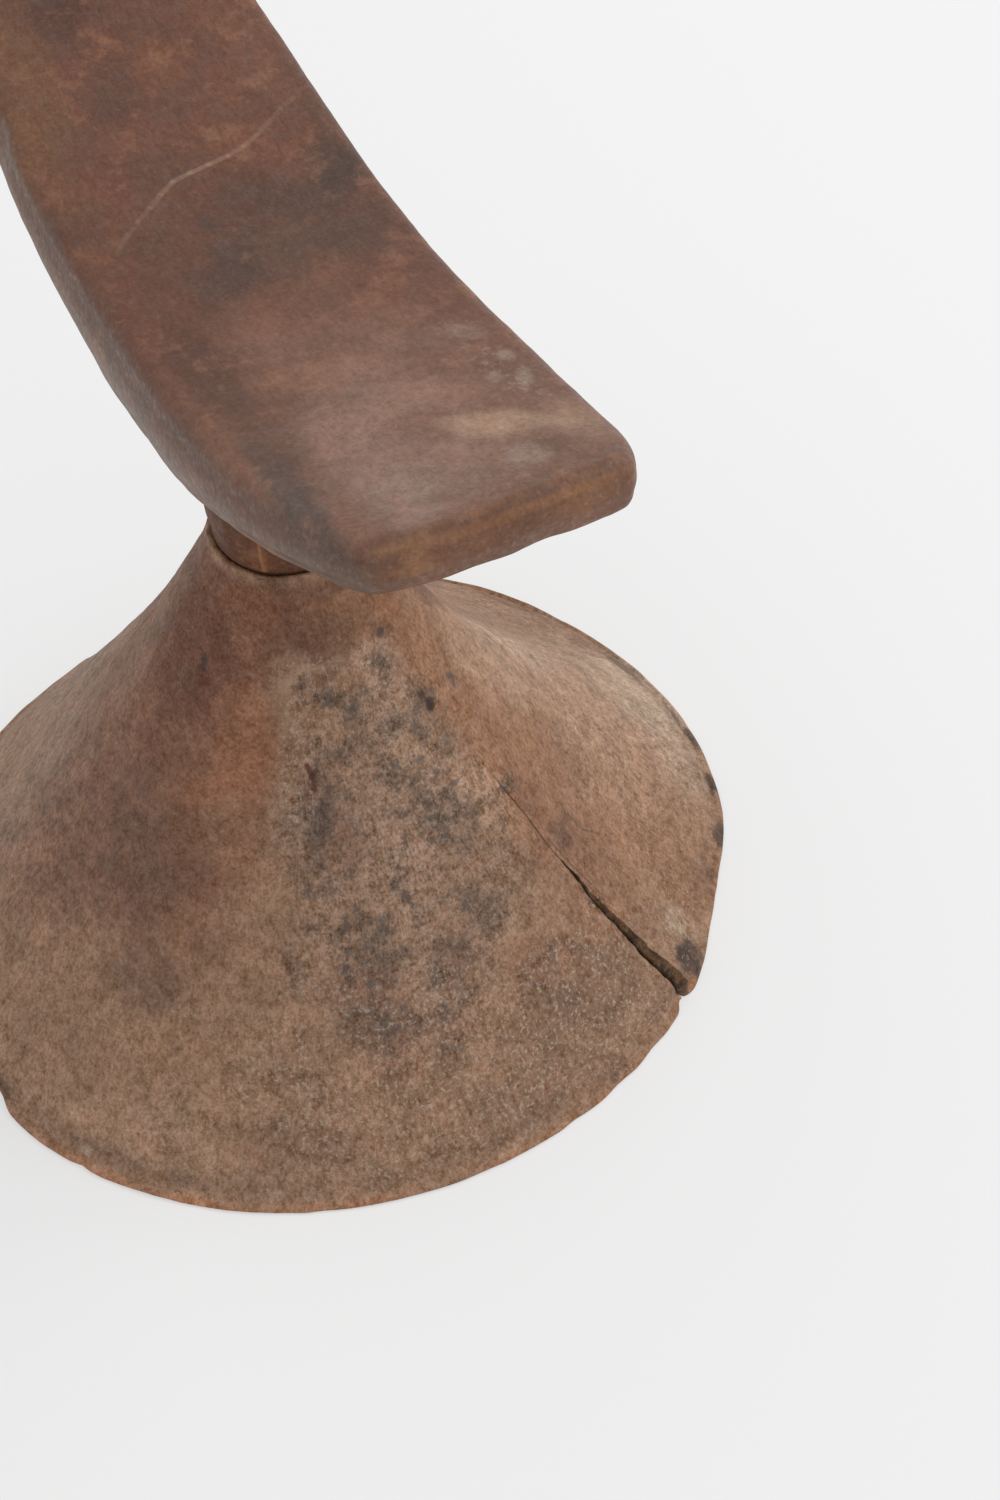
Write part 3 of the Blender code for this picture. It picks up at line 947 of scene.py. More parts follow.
def curve_through(knots, count):
    """A smooth open line through given points, sampled evenly along its length."""
    knots = np.array(knots, float)
    padded = np.vstack([2 * knots[0] - knots[1], knots, 2 * knots[-1] - knots[-2]])
    line = []
    for a, b, c, d in zip(padded[:-3], padded[1:-2], padded[2:-1], padded[3:]):
        for t in np.linspace(0, 1, 24, endpoint=False):
            squared = (2 * a - 5 * b + 4 * c - d) * t**2
            cubed = (3 * b - a - 3 * c + d) * t**3
            line.append(0.5 * (2 * b + (c - a) * t + squared + cubed))
    return evenly_along(np.array(line + [knots[-1]]), count)


def boundary_points():
    """Points round the outline in order, from the far left corner along the left side."""
    right = [(-x, y) for x, y in reversed(RIGHT_SIDE[1:])] + RIGHT_SIDE
    left = [(-x, -y) for x, y in reversed(LEFT_SIDE[1:])] + [(x, -y) for x, y in LEFT_SIDE]
    far_left, near_left, near_right, far_right = CORNERS
    loop = left + [near_left] + NEAR_END[::-1] + [near_right]
    loop += right[::-1] + [far_right] + FAR_END[::-1] + [far_left]
    dense = curve_through(loop[-4:] + loop + loop[:4], OUTLINE_POINTS)
    passes = []
    for corner in CORNERS:
        off = np.linalg.norm(dense - corner, axis=1)
        passes.append(np.flatnonzero(off < off.min() + 0.05))
    marks = [passes[0][0]]
    for found in passes[1:]:
        marks.append(found[found > marks[-1]][0])
    marks.append(passes[0][-1])
    cells = (PLATFORM_CELLS_ALONG, PLATFORM_CELLS_ACROSS) * 2
    return np.vstack(
        [evenly_along(dense[a : b + 1], count + 1)[:-1] for a, b, count in zip(marks[:-1], marks[1:], cells)]
    )


def outline_normals(loop):
    along = np.roll(loop, -1, axis=0) - np.roll(loop, 1, axis=0)
    along = (along + np.roll(along, 1, axis=0) + np.roll(along, -1, axis=0)) / 3
    along /= np.linalg.norm(along, axis=1)[:, None]
    return np.column_stack([along[:, 1], -along[:, 0]])


def coons(loop):
    """Fills the outline with a grid whose edge is the outline itself."""
    along, across = PLATFORM_CELLS_ALONG, PLATFORM_CELLS_ACROSS
    low = loop[: along + 1]
    near = loop[along : along + across + 1]
    high = loop[along + across : 2 * along + across + 1][::-1]
    far = np.vstack([loop[2 * along + across :], loop[:1]])[::-1]
    u = np.linspace(0, 1, along + 1)[:, None, None]
    v = np.linspace(0, 1, across + 1)[None, :, None]
    ruled = (1 - v) * low[:, None] + v * high[:, None] + (1 - u) * far[None] + u * near[None]
    corners = (1 - u) * (1 - v) * low[0] + u * (1 - v) * low[-1] + (1 - u) * v * high[0] + u * v * high[-1]
    return ruled - corners


def top_height(x):
    return SADDLE_HEIGHT + PLATFORM_RISE * x * x


def thickness(x):
    reach = np.minimum(np.abs(x) / THICK_REACH, 1.0)
    return END_THICKNESS + MIDDLE_EXTRA * np.cos(np.pi / 2 * reach) ** 2


SEAT_RADIUS = 16.3
SEAT_STEPS = 96
MORTISE_RADIUS = 7.8
MORTISE_DEPTH = 7.0
CUTTER_DROP = 12

PLATFORM_DENTS = [
    # x, y, half length, half width, depth
    (-20, 6, 16, 9, 0.35),
    (20, -4, 20, 10, 0.45),
    (45, 9, 12, 7, 0.30),
    (62, -8, 9, 8, 0.40),
    (-52, -6, 14, 9, 0.35),
    (76.5, -13, 2.6, 4, 0.80),
    (34, 17, 3, 1.6, 0.20),
    (-41, -23, 4.5, 1.6, 0.9),
]


def crown(points, half_width):
    """The top falls away a little towards its edges."""
    return -0.5 * (np.abs(points[:, 1]) / half_width) ** 3


def section_rings(end_like):
    """Rings down the side: (outward offset, part, depth in it), with a rounder lower edge at the ends."""
    lower = BOTTOM_EDGE + END_TUCK * end_like
    rings = []
    for step in range(1, 7):
        turn = math.pi / 2 * step / 6
        inset = np.full_like(lower, TOP_EDGE * (1 - math.sin(turn)))
        rings.append((-inset, "top", TOP_EDGE * (1 - math.cos(turn))))
    for step in range(1, 12):
        share = step / 12
        bulge = SIDE_BULGE * (1 - 0.75 * end_like) * math.sin(math.pi * share) ** 1.2
        rings.append((bulge, "side", share))
    for step in range(0, 7):
        turn = math.pi / 2 * step / 6
        rings.append((-lower * (1 - math.cos(turn)), "bottom", lower * (1 - math.sin(turn))))
    return rings


def make_platform():
    loop = boundary_points()
    normals = outline_normals(loop)
    along, across = PLATFORM_CELLS_ALONG, PLATFORM_CELLS_ACROSS
    end_like = smooth((np.abs(loop[:, 0]) - 66) / 8)

    top_grid = coons(loop - normals * TOP_EDGE)
    lower = (BOTTOM_EDGE + END_TUCK * end_like)[:, None]
    bottom_grid = coons(loop - normals * lower)
    count = (along + 1) * (across + 1)
    top_index = np.arange(count).reshape(along + 1, across + 1)
    points = [flat_to_top(top_grid.reshape(-1, 2))]
    total = count

    def ring_of(index):
        return np.concatenate([index[:-1, 0], index[-1, :-1], index[:0:-1, -1], index[0, :0:-1]])

    rings = [ring_of(top_index)]
    for offset, kind, amount in section_rings(end_like):
        place = loop + normals * offset[:, None]
        top = flat_to_top(loop - normals * TOP_EDGE)[:, 2]
        floor = flat_to_bottom(loop - normals * lower)[:, 2]
        if kind == "top":
            height = top - amount
        elif kind == "bottom":
            height = floor + amount
        else:
            high, low = top - TOP_EDGE, floor + lower[:, 0]
            height = high + (low - high) * amount
        points.append(np.column_stack([place, height]))
        rings.append(total + np.arange(len(loop)))
        total += len(loop)
    bottom_index = total + np.arange(count).reshape(along + 1, across + 1)
    points.append(flat_to_bottom(bottom_grid.reshape(-1, 2)))
    rings.append(ring_of(bottom_index))
    points = np.vstack(points)
    faces = grid_faces(top_index, flip=True) + grid_faces(bottom_index)
    band = np.array([np.append(ring, ring[0]) for ring in rings])
    faces += grid_faces(band, flip=True)
    plain = mesh_object("platform_plain", points, faces)
    roughen_platform(plain.data)
    return cut_seat(plain)


def half_width_at(x):
    return 24.4 - 0.0006 * x * x


def flat_to_top(flat):
    """Lifts plan points to the top surface."""
    half = half_width_at(flat[:, 0])
    points = np.column_stack([flat, top_height(flat[:, 0])])
    points[:, 2] += crown(points, half)
    return points


def flat_to_bottom(flat):
    half = half_width_at(flat[:, 0])
    points = np.column_stack([flat, top_height(flat[:, 0]) - thickness(flat[:, 0])])
    points[:, 2] += 0.2 * (np.abs(flat[:, 1]) / half) ** 3
    return points


def roughen_platform(mesh):
    """Carving marks, wear and dents, along the surface's own direction."""
    points = mesh_points(mesh)
    normals = mesh_normals(mesh)
    stretched = points * (0.45, 1.0, 1.0)
    raised = 0.26 * fractal(stretched, 16.0, 301) + 0.09 * fractal(stretched, 5.0, 305)
    raised += 0.03 * noise(points, 1.8, 309)
    under = smooth(-normals[:, 2] * 2)
    ends = smooth((np.abs(points[:, 0]) - 68) / 6)
    raised += (1 - ends) * under * 0.35 * np.abs(noise(points * (0.7, 1.0, 1.0), 8.0, 311))
    raised += ends * 0.14 * fractal(points, 7.0, 321, 2)
    facing = smooth(normals[:, 2] * 2 + 0.6)
    for x, y, half_length, half_width, depth in PLATFORM_DENTS:
        off = ((points[:, 0] - x) / half_length) ** 2 + ((points[:, 1] - y) / half_width) ** 2
        raised -= facing * depth * np.exp(-off)
    near_seat = smooth((np.hypot(points[:, 0], points[:, 1]) - 17.5) / 3.0)
    raised = np.where(under > 0.5, raised * near_seat, raised)
    moved = (points + normals * raised[:, None]) * MM
    mesh.vertices.foreach_set("co", moved.ravel())
    mesh.update()


def cut_seat(plain):
    """Cuts the round seat and mortise that take the neck's top."""
    turn = np.arange(SEAT_STEPS) * 2 * math.pi / SEAT_STEPS
    profile = [(SEAT_RADIUS, PLATFORM_SEAT - CUTTER_DROP), (SEAT_RADIUS, PLATFORM_SEAT)]
    profile += [(MORTISE_RADIUS, PLATFORM_SEAT), (MORTISE_RADIUS, PLATFORM_SEAT + MORTISE_DEPTH)]
    cutter = turned_object("seat_cutter", [around(turn, radius, height) for radius, height in profile])
    boolean = plain.modifiers.new("seat", "BOOLEAN")
    boolean.operation = "DIFFERENCE"
    boolean.object = cutter
    boolean.solver = "EXACT"
    graph = bpy.context.evaluated_depsgraph_get()
    mesh = bpy.data.meshes.new_from_object(plain.evaluated_get(graph))
    mesh.name = "head_platform_carved"
    obj = bpy.data.objects.new("head_platform_carved", mesh)
    bpy.context.scene.collection.objects.link(obj)
    for helper in (plain, cutter):
        bpy.data.objects.remove(helper, do_unlink=True)
    mesh.shade_smooth()
    mesh.set_sharp_from_angle(angle=math.radians(50))
    paint_platform(obj)
    return obj


# ---------------------------------------------------------------- head platform: colour

FAR_TONE = np.array([0.82, 0.59, 0.43])
NEAR_TONE = np.array([1.15, 1.11, 1.05])
SIDE_TONE = np.array([0.90, 0.78, 0.63])
END_TONE = np.array([0.74, 0.62, 0.50])

PLATFORM_ZONES = [
    # x, y, half length, half width, tilt, colour, strength
    (-40, -18, 20, 6, -8, "olive_ochre", 0.80),
    (-9, 4, 6, 12, 0, "deep_brown", 0.60),
    (-50, 14, 9, 4, 20, "end_orange", 0.40),
    (-34, 11, 7, 3, -30, "end_orange", 0.40),
    (-45, 4, 6, 2.4, 10, "end_orange", 0.30),
    (-24, 9, 3, 8, 14, "end_orange", 0.35),
    (-57, -7, 6, 4, 0, "deep_brown", 0.75),
    (-61, 8, 6, 8, 0, "deep_brown", 0.45),
    (-40, -5, 12, 5, 0, "deep_brown", 0.35),
    (-35, 18, 12, 4, 0, "pinkish", 0.25),
    (-11, 18.5, 7, 5, 0, "slate", 0.85),
    (-6, 12, 5, 6, 0, "slate", 0.55),
    (2, 4, 8, 14, 0, "centre_grey", 0.85),
    (4, 18, 10, 5, 0, "centre_grey", 0.55),
    (4, -6, 6, 6, 0, "slate", 0.65),
    (-7.5, -3.6, 2.4, 0.9, 5, "slate", 0.55),
    (18, 2, 10, 12, 0, "pinkish", 0.50),
    (38, 0, 18, 13, 0, "pinkish", 0.90),
    (58, -4, 13, 11, 0, "pinkish", 0.70),
    (36, -16, 24, 3.6, 2, "deep_brown", 0.55),
    (18, -17, 14, 3, 0, "deep_brown", 0.45),
    (56, 9, 11, 3.4, 48, "warm_tan", 0.50),
    (57, 11, 7, 2, 48, "warm_tan", 0.40),
    (64, 18, 9, 3.4, -6, "warm_tan", 0.35),
    (34, 17.6, 2.6, 1.3, 30, "whitish", 0.22),
    (42, 19, 1.5, 1.3, 0, "whitish", 0.34),
    (49, 18.2, 3.4, 1.3, -24, "whitish", 0.40),
    (46, 15.2, 1.6, 1, 0, "whitish", 0.24),
    (66.5, 9, 3, 2.4, 0, "whitish", 0.22),
    # painted highlight on the near-left of the top
    (65, -8, 8, 6, 0, "whitish", 0.14),
    (60, -18.6, 14, 3, -4, "slate", 0.85),
    (24, 22.2, 3, 0.9, 0, "edge_light", 0.60),
    (-9, -17.5, 5, 1.6, -30, "end_orange", 0.50),
    (11, 9, 6, 3, 20, "end_orange", 0.30),
]

LIGHT_SPOTS = [
    # x, y, half length, half width, strength on the near end's worn crease
    (77, -16, 1.8, 1.6, 0.8),
    (76.4, -11, 1.8, 2.2, 0.8),
    (77, 13, 1.4, 4, 0.4),
]


def paint_platform(obj):
    points = mesh_points(obj.data)
    normals = mesh_normals(obj.data)
    x, y = points[:, 0], points[:, 1]
    up = normals[:, 2]
    wobble = 0.36 * fractal(points, 9.0, 401) + 0.10 * noise(points, 2.6, 405)
    colours = np.tile(linear(PALETTE["dark_red_brown"]), (len(points), 1))
    for place in PLATFORM_ZONES:
        off = oval(x - place[0], y - place[1], place[2], place[3], place[4])
        colours = blend(colours, place[5], place[6] * smooth((1.35 - off + wobble) / 0.9))
    sideways = smooth((0.75 - up) / 0.5)
    under = smooth((-up - 0.2) / 0.4)
    end = smooth((np.abs(x) - 73.0) / 2.5)
    low_side = smooth(((top_height(x) - points[:, 2]) / thickness(x) - 0.28) / 0.25)
    crease = bell(up, 0.58, 0.20) * smooth((np.abs(x) - 72.5) / 2.0)
    washes = [
        # painted shade on the upper part of the sides, and painted sheen, a grey reflection, on their lower
        # part
        ("deep_brown", 0.55 * sideways * (1 - end) * (1 - low_side)),
        ("side_sheen", 0.75 * sideways * (1 - end) * low_side),
        ("end_orange", 0.85 * end),
        ("deep_brown", 0.50 * bell(up, 0.88, 0.08) * smooth((np.abs(x) - 71.0) / 2.0)),
        ("edge_light", 0.85 * crease * smooth(0.6 + 1.6 * wobble)),
    ]
    for place in LIGHT_SPOTS:
        off = oval(x - place[0], y - place[1], place[2], place[3])
        washes.append(("edge_light", place[4] * smooth((1.4 - off) / 0.9) * smooth(up * 3 + 0.5)))
    washes.append(("under", 0.9 * under * (1 - 0.7 * end)))
    for name, share in washes:
        colours = blend(colours, name, share)
    tone = FAR_TONE + (NEAR_TONE - FAR_TONE) * smooth((x - 9) / 50)[:, None]
    tone = tone + (SIDE_TONE - tone) * sideways[:, None]
    tone = tone + (END_TONE - tone) * end[:, None]
    store_colour(obj.data, "paint", colours * tone)
    mottle = 0.18 + 0.25 * smooth((20 - x) / 30) * (1 - sideways)
    fleck = 0.06 + 0.35 * bell(x, 46, 10) * bell(y, 17, 2.6) + 0.10 * sideways
    store_marks(obj.data, mottle, fleck, 0.0)
    store_vector(obj.data, "grain", points * (0.28, 1.0, 1.0))


# ---------------------------------------------------------------- materials


class Graph:
    """A material's nodes; each method adds one and returns its result socket."""

    def __init__(self, name):
        self.material = bpy.data.materials.new(name)
        self.material.use_nodes = True
        self.tree = self.material.node_tree
        self.shader = self.tree.nodes["Principled BSDF"]

    def put(self, socket, value):
        if isinstance(value, bpy.types.NodeSocket):
            self.tree.links.new(value, socket)
        else:
            socket.default_value = value

    def attribute(self, name, output):
        node = self.tree.nodes.new("ShaderNodeAttribute")
        node.attribute_name = name
        return node.outputs[output]

    def place(self):
        return self.tree.nodes.new("ShaderNodeTexCoord").outputs["Object"]

    def split(self, colour):
        node = self.tree.nodes.new("ShaderNodeSeparateColor")
        self.put(node.inputs[0], colour)
        return node.outputs[0], node.outputs[1], node.outputs[2]

    def noise(self, vector, size, detail=2.0, roughness=0.5, distortion=0.0):
        """Noise in blobs of that size, in the vector's own unit."""
        node = self.tree.nodes.new("ShaderNodeTexNoise")
        self.put(node.inputs["Vector"], vector)
        self.put(node.inputs["Scale"], 1 / size)
        self.put(node.inputs["Detail"], detail)
        self.put(node.inputs["Roughness"], roughness)
        self.put(node.inputs["Distortion"], distortion)
        return node.outputs[0]

    def math(self, operation, a, b=0.0, clamp=False):
        node = self.tree.nodes.new("ShaderNodeMath")
        node.operation = operation
        node.use_clamp = clamp
        self.put(node.inputs[0], a)
        self.put(node.inputs[1], b)
        return node.outputs[0]

    def times(self, a, b, clamp=False):
        return self.math("MULTIPLY", a, b, clamp)

    def vector(self, operation, a, b, output=0):
        node = self.tree.nodes.new("ShaderNodeVectorMath")
        node.operation = operation
        self.put(node.inputs[0], a)
        self.put(node.inputs["Scale"] if operation == "SCALE" else node.inputs[1], b)
        return node.outputs[output]

    def ramp(self, value, low, high, to_low=0.0, to_high=1.0):
        node = self.tree.nodes.new("ShaderNodeMapRange")
        node.interpolation_type = "SMOOTHSTEP"
        for name, number in zip(("From Min", "From Max", "To Min", "To Max"), (low, high, to_low, to_high)):
            self.put(node.inputs[name], number)
        self.put(node.inputs["Value"], value)
        return node.outputs[0]

    def mix(self, share, a, b, mode="MIX"):
        node = self.tree.nodes.new("ShaderNodeMix")
        node.data_type = "RGBA"
        node.blend_type = mode
        self.put(node.inputs[0], share)
        self.put(node.inputs[6], a)
        self.put(node.inputs[7], b)
        return node.outputs[2]

    def grey_of(self, colour):
        """A slightly warm grey, as light as the colour."""
        node = self.tree.nodes.new("ShaderNodeRGBToBW")
        self.put(node.inputs[0], colour)
        return self.scaled((1.07, 0.99, 0.93), node.outputs[0])

    def scaled(self, colour, factor):
        """The colour times a number."""
        return self.vector("SCALE", colour, factor)

    def line(self, place, start, end, half_width, normal):
        """1 on a straight stroke between two points in metres, and 0 away from it, seen along the normal."""
        run = Vector(end) - Vector(start)
        off = self.vector("SUBTRACT", place, tuple(start))
        lift = self.vector("DOT_PRODUCT", off, tuple(normal), "Value")
        off = self.vector("SUBTRACT", off, self.scaled(tuple(normal), lift))
        along = self.vector("DOT_PRODUCT", off, tuple(run / run.length_squared), "Value")
        share = self.math("ADD", along, 0.0, clamp=True)
        nearest = self.scaled(tuple(run), share)
        distance = self.vector("DISTANCE", off, nearest, "Value")
        beside = self.ramp(distance, half_width * 1.3, half_width * 0.5)
        return self.times(beside, self.ramp(self.math("ABSOLUTE", lift), 4 * MM, 3 * MM))

    def bump(self, height, distance, strength, normal=None):
        node = self.tree.nodes.new("ShaderNodeBump")
        self.put(node.inputs["Height"], height)
        self.put(node.inputs["Distance"], distance)
        self.put(node.inputs["Strength"], strength)
        if normal is not None:
            self.put(node.inputs["Normal"], normal)
        return node.outputs[0]


def rgba(colour):
    return (*linear(colour), 1.0)


# How large each kind of mark is, in metres.
CLOUD_SIZE = 0.009
GRIT_SIZE = 0.0019
CRUST_SIZE = 0.0009
DOT_SIZE = 0.0023


def aged_wood(name, look):
    """Old handled wood: painted tone, mottling, fibre dashes, pale flecks, dark dots, pits and strokes."""
    g = Graph(name)
    paint = g.attribute("paint", "Color")
    mottle, fleck, torn = g.split(g.attribute("marks", "Color"))
    grain = g.scaled(g.attribute("grain", "Vector"), MM)
    place = g.place()

    cloud = g.noise(place, CLOUD_SIZE, 3.0, 0.55)
    colour = g.scaled(paint, g.ramp(cloud, 0.25, 0.75, 0.88, 1.12))

    blotch = g.noise(place, look["blotch"] * MM, 7.0, 0.70, 0.2)
    grey = g.times(g.ramp(blotch, 0.47, 0.62), mottle, clamp=True)
    colour = g.mix(g.times(grey, look["grey"]), colour, rgba(PALETTE["olive_grey"]))
    warm = g.times(g.ramp(blotch, 0.47, 0.34), look["warm"], clamp=True)
    colour = g.mix(warm, colour, rgba(PALETTE["rust"]))

    fibre = g.noise(grain, look["fibre"] * MM, 3.0, 0.65, 0.2)
    speck = g.noise(place, look["speck"] * MM, 3.0, 0.75)
    grit = g.noise(place, GRIT_SIZE, 4.0, 0.72)
    busy = g.ramp(mottle, 0.1, 0.7, 1.0, look["busy"])
    swing = 0.0
    for source, share in ((fibre, 0.9), (speck, 1.2), (grit, 1.25), (blotch, -0.7)):
        swing = g.math("ADD", g.ramp(source, 0.30, 0.70, -share, share), swing)
    swing = g.times(g.times(swing, look["contrast"]), busy)
    swing = g.math("MAXIMUM", swing, -0.8)
    dusty = g.mix(0.6, colour, g.grey_of(colour))
    colour = g.vector("ADD", colour, g.scaled(dusty, swing))

    crust = g.noise(place, CRUST_SIZE, 3.0, 0.7)
    pale = g.times(g.ramp(crust, 0.55, 0.64), fleck, clamp=True)
    colour = g.mix(g.times(pale, look["pale"]), colour, rgba(PALETTE["bone"]))
    dark = g.times(g.ramp(crust, 0.42, 0.34), g.times(busy, look["pits"]), clamp=True)
    colour = g.mix(dark, colour, rgba(PALETTE["char"]))

    clump = g.noise(place, DOT_SIZE, 4.0, 0.62)
    dots = g.times(g.ramp(clump, 0.59, 0.64), g.times(mottle, look["dots"]), clamp=True)
    colour = g.mix(dots, colour, rgba(PALETTE["bluish"]))

    strokes = None
    for start, end, normal, width, tone, strength in look["strokes"]:
        stroke = g.times(g.line(place, start, end, width, normal), strength, clamp=True)
        broken = g.times(stroke, g.ramp(speck, 0.25, 0.55, 0.45, 1.0))
        colour = g.mix(broken, colour, rgba(PALETTE[tone]))
        if tone == "char":
            strokes = broken if strokes is None else g.math("MAXIMUM", strokes, broken)

    g.put(g.shader.inputs["Base Color"], colour)
    rough = g.ramp(crust, 0.3, 0.7, look["rough"] + 0.07, look["rough"] - 0.07)
    rough = g.math("ADD", rough, g.times(torn, 0.3), clamp=True)
    g.put(g.shader.inputs["Roughness"], rough)
    g.shader.inputs["Specular IOR Level"].default_value = look["specular"]
    relief = g.math("ADD", g.times(fibre, 0.6), g.times(speck, 0.5))
    relief = g.math("ADD", relief, g.times(crust, 0.7))
    if strokes is not None:
        relief = g.math("SUBTRACT", relief, g.times(strokes, 1.2))
    g.put(g.shader.inputs["Normal"], g.bump(relief, look["relief"] * MM, 0.9))
    return g.material


def strokes_on_base():
    """Hairline cracks and scratches as straight strokes over the surface, with width and tone."""
    paths = [
        ([(32.2, 56), (33, 51)], 0.07, "char", 0.30),
        ([(33, 51), (33.6, 46), (34, 41), (34, 36)], 0.09, "char", 0.60),
        ([(35.2, 36), (35.6, 31), (36.4, 26)], 0.07, "char", 0.45),
        ([(106.5, 54.4), (97, 52.2), (89, 50.4), (86, 44.8)], 0.16, "char", 0.55),
        ([(105, 56), (96, 53.6), (90, 51.8)], 0.12, "bone", 0.35),
        ([(-28.6, 19), (-28.2, 16)], 0.10, "bone", 0.22),
        ([(-26.8, 17), (-27, 14.5)], 0.10, "bone", 0.20),
        ([(-30.5, 15), (-29.6, 12)], 0.10, "bone", 0.20),
        ([(52, 66), (58, 60)], 0.12, "bone", 0.25),
        ([(176, 1), (174.5, 14), (176, 25)], 0.16, "char", 0.70),
        ([(-128, 70), (-129, 58), (-127, 49)], 0.14, "char", 0.60),
        ([(48, 27), (45, 31), (44.5, 35)], 0.12, "char", 0.40),
        ([(-22.4, 66.2), (-21, 64.4), (-20.4, 62.4)], 0.20, "gouge_red", 0.95),
        ([(-21.4, 64.2), (-19.4, 65.2)], 0.18, "char", 0.60),
        ([(-68, 75.4), (-64.5, 76.4)], 0.30, "gouge_red", 0.75),
        ([(-70, 79.5), (-69.4, 77.6)], 0.22, "char", 0.60),
        ([(-66, 80.4), (-62.5, 79.6)], 0.20, "gouge_red", 0.50),
        ([(28, 66.4), (28.4, 67.2)], 0.38, "char", 1.00),
        ([(26.6, 68.6), (27.2, 69.2)], 0.20, "char", 0.70),
        ([(24, 80.8), (24.6, 81.4)], 0.30, "char", 0.65),
        ([(43, 66.8), (44.4, 66.2)], 0.26, "char", 0.50),
        ([(-30, 70), (-28.6, 78.6), (-22, 80.6), (-12, 80.2)], 0.42, "lip_light", 0.34),
        ([(-12, 80.2), (-2, 80.9), (10, 79.8), (20, 79.2), (28, 75)], 0.38, "lip_light", 0.26),
    ]
    strokes = []
    for places, width, tone, strength in paths:
        line = surface_path(places)
        for place, start, end in zip(places[:-1], line[:-1], line[1:]):
            strokes.append((start * MM, end * MM, outward(*place), width * MM * 2.2, tone, strength))
    return strokes


def strokes_on_platform():
    """One thin pale worn line that bends across the platform."""
    knots = [(-29, 22), (-25, 15), (-21.6, 9.6), (-20, 6), (-19.2, 0)]
    knots += [(-17.8, -5), (-14.6, -9), (-11, -14), (-8, -17)]
    line = curve_through(knots, 15)
    strokes = []
    for step, ((x0, y0), (x1, y1)) in enumerate(zip(line[:-1], line[1:])):
        start = Vector((x0, y0, top_height(x0))) * MM
        end = Vector((x1, y1, top_height(x1))) * MM
        strength = 0.09 + 0.27 * float(bell(step, 7.0, 3.4))
        strokes.append((start, end, (0.0, 0.0, 1.0), 0.48 * MM, "lip_light", strength))
    return strokes


BASE_LOOK = {
    "blotch": 5.5,
    "grey": 0.72,
    "warm": 0.32,
    "fibre": 0.55,
    "speck": 0.55,
    "busy": 1.35,
    "contrast": 0.20,
    "pale": 0.55,
    "pits": 0.30,
    "dots": 0.75,
    "rough": 0.66,
    "specular": 0.35,
    "relief": 0.28,
}
NECK_LOOK = {
    **BASE_LOOK,
    "grey": 0.4,
    "contrast": 0.12,
    "pale": 0.3,
    "pits": 0.2,
    "rough": 0.62,
    "specular": 0.25,
    "relief": 0.14,
}
PLATFORM_LOOK = {
    **BASE_LOOK,
    "blotch": 7.0,
    "grey": 0.50,
    "warm": 0.30,
    "fibre": 0.60,
    "contrast": 0.11,
    "pale": 0.6,
    "pits": 0.10,
    "dots": 0.40,
    "rough": 0.50,
    "specular": 0.45,
    "relief": 0.12,
}


# ---------------------------------------------------------------- stage, light and camera

FLOOR_COLOUR = 0.87
FLOOR_GLOW = 0.45
FLOOR_HALF = 3000.0
WORLD_LIGHT = 0.80
WINDOW_SIZE = (1.2, 0.9)
WINDOW_PLACE = (0.1, 1.1, 1.2)
WINDOW_AIM = (0, 0, 0.08)
WINDOW_POWER = 9.0
CAMERA_PLACE = (0.2293, -0.0790, 0.3400)
CAMERA_FORWARD = (-0.5488, 0.2820, -0.7869)
CAMERA_ROLL = -0.8
WHITE = (1.0, 1.0, 1.0, 1.0)


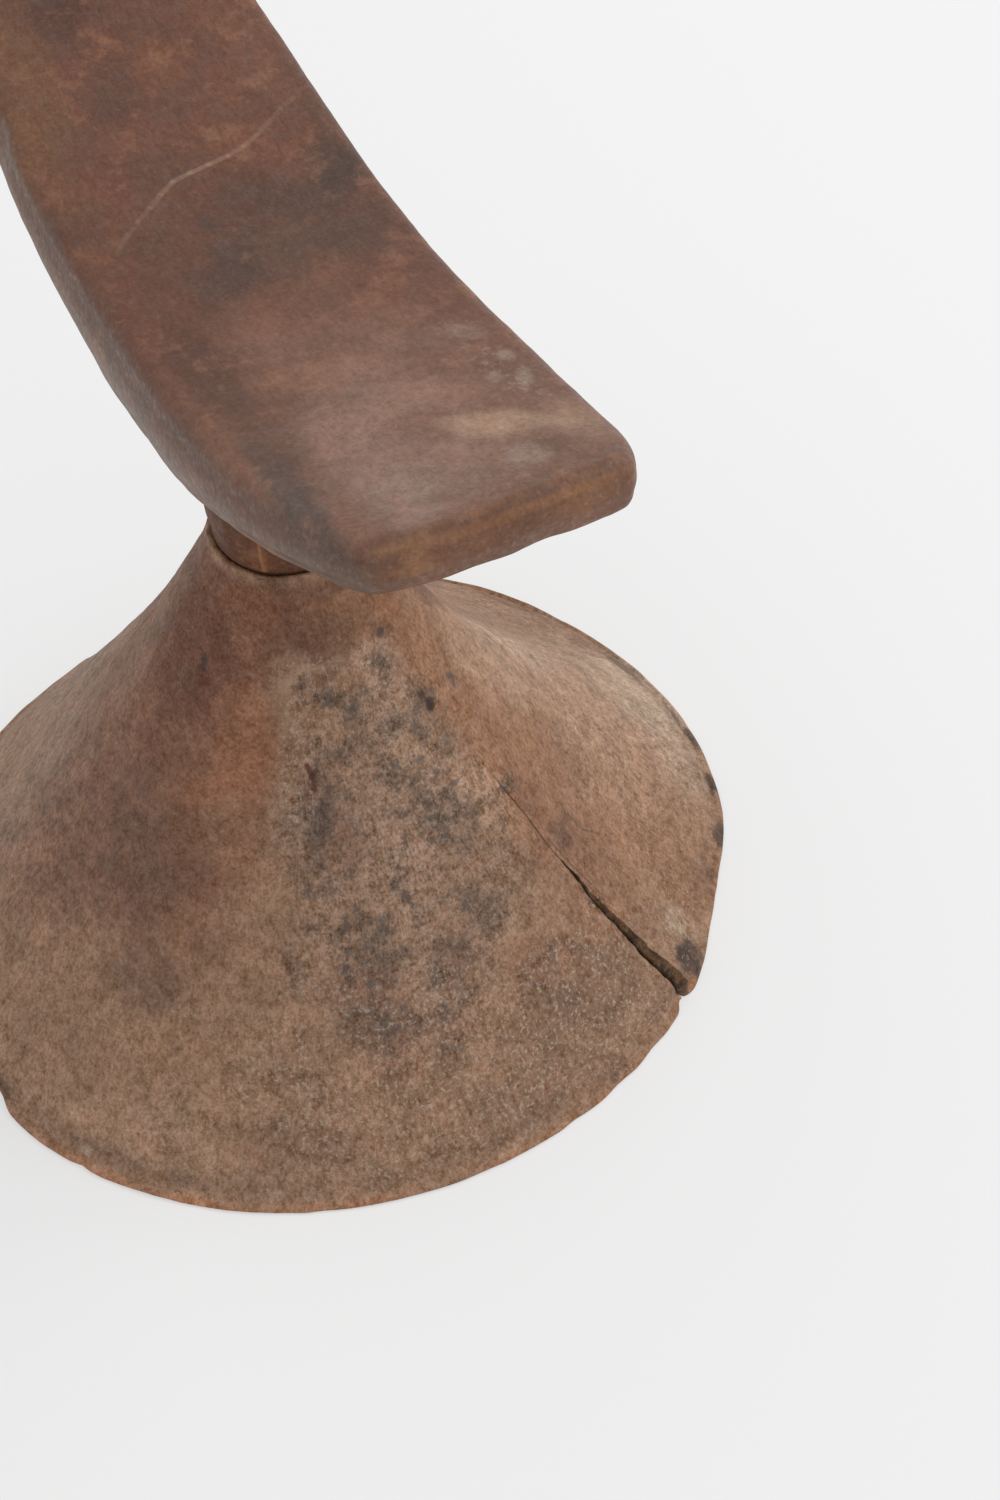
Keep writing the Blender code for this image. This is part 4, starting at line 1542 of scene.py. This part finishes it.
def make_floor():
    points = [(x * FLOOR_HALF, y * FLOOR_HALF, 0) for x, y in ((-1, -1), (1, -1), (1, 1), (-1, 1))]
    floor = mesh_object("floor", points, [(0, 1, 2, 3)])
    g = Graph("floor_paper")
    tone = (FLOOR_COLOUR * (1 - FLOOR_GLOW),) * 3 + (1.0,)
    g.shader.inputs["Base Color"].default_value = tone
    g.shader.inputs["Roughness"].default_value = 0.9
    g.shader.inputs["Specular IOR Level"].default_value = 0.0
    g.shader.inputs["Emission Color"].default_value = WHITE
    g.shader.inputs["Emission Strength"].default_value = FLOOR_COLOUR * FLOOR_GLOW
    floor.data.materials.append(g.material)


def make_light():
    world = bpy.data.worlds.new("studio")
    bpy.context.scene.world = world
    world.use_nodes = True
    sky = world.node_tree.nodes["Background"]
    sky.inputs["Color"].default_value = WHITE
    sky.inputs["Strength"].default_value = WORLD_LIGHT
    light = bpy.data.lights.new("window", "AREA")
    light.shape = "RECTANGLE"
    light.size, light.size_y = WINDOW_SIZE
    light.energy = WINDOW_POWER
    obj = bpy.data.objects.new("window", light)
    obj.location = WINDOW_PLACE
    obj.rotation_euler = (Vector(WINDOW_AIM) - obj.location).to_track_quat("-Z", "Y").to_euler()
    bpy.context.scene.collection.objects.link(obj)


def make_camera():
    data = bpy.data.cameras.new("camera")
    data.lens = 50.0
    data.sensor_width = 36.0
    data.clip_start = 0.01
    camera = bpy.data.objects.new("camera", data)
    camera.location = CAMERA_PLACE
    aim = Vector(CAMERA_FORWARD).to_track_quat("-Z", "Y").to_matrix()
    aim = aim @ Matrix.Rotation(math.radians(CAMERA_ROLL), 3, "Z")
    camera.rotation_mode = "QUATERNION"
    camera.rotation_quaternion = aim.to_quaternion()
    bpy.context.scene.collection.objects.link(camera)
    bpy.context.scene.camera = camera
    bpy.context.scene.view_settings.view_transform = "Standard"


# ---------------------------------------------------------------- assembly


def install(piece, node, material):
    """Rides the piece on the one body, in place of its CAD node."""
    piece.data.materials.clear()
    piece.data.materials.append(material)
    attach(piece, "root")
    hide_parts(node)


def main():
    make_camera()
    make_floor()
    make_light()
    base_wood = aged_wood("base_wood_aged", {**BASE_LOOK, "strokes": strokes_on_base()})
    neck_wood = aged_wood("neck_wood_aged", {**NECK_LOOK, "strokes": []})
    platform_wood = aged_wood("platform_wood_aged", {**PLATFORM_LOOK, "strokes": strokes_on_platform()})
    install(make_base(), "base", base_wood)
    install(make_neck(), "neck", neck_wood)
    install(make_platform(), "head_platform", platform_wood)


main()
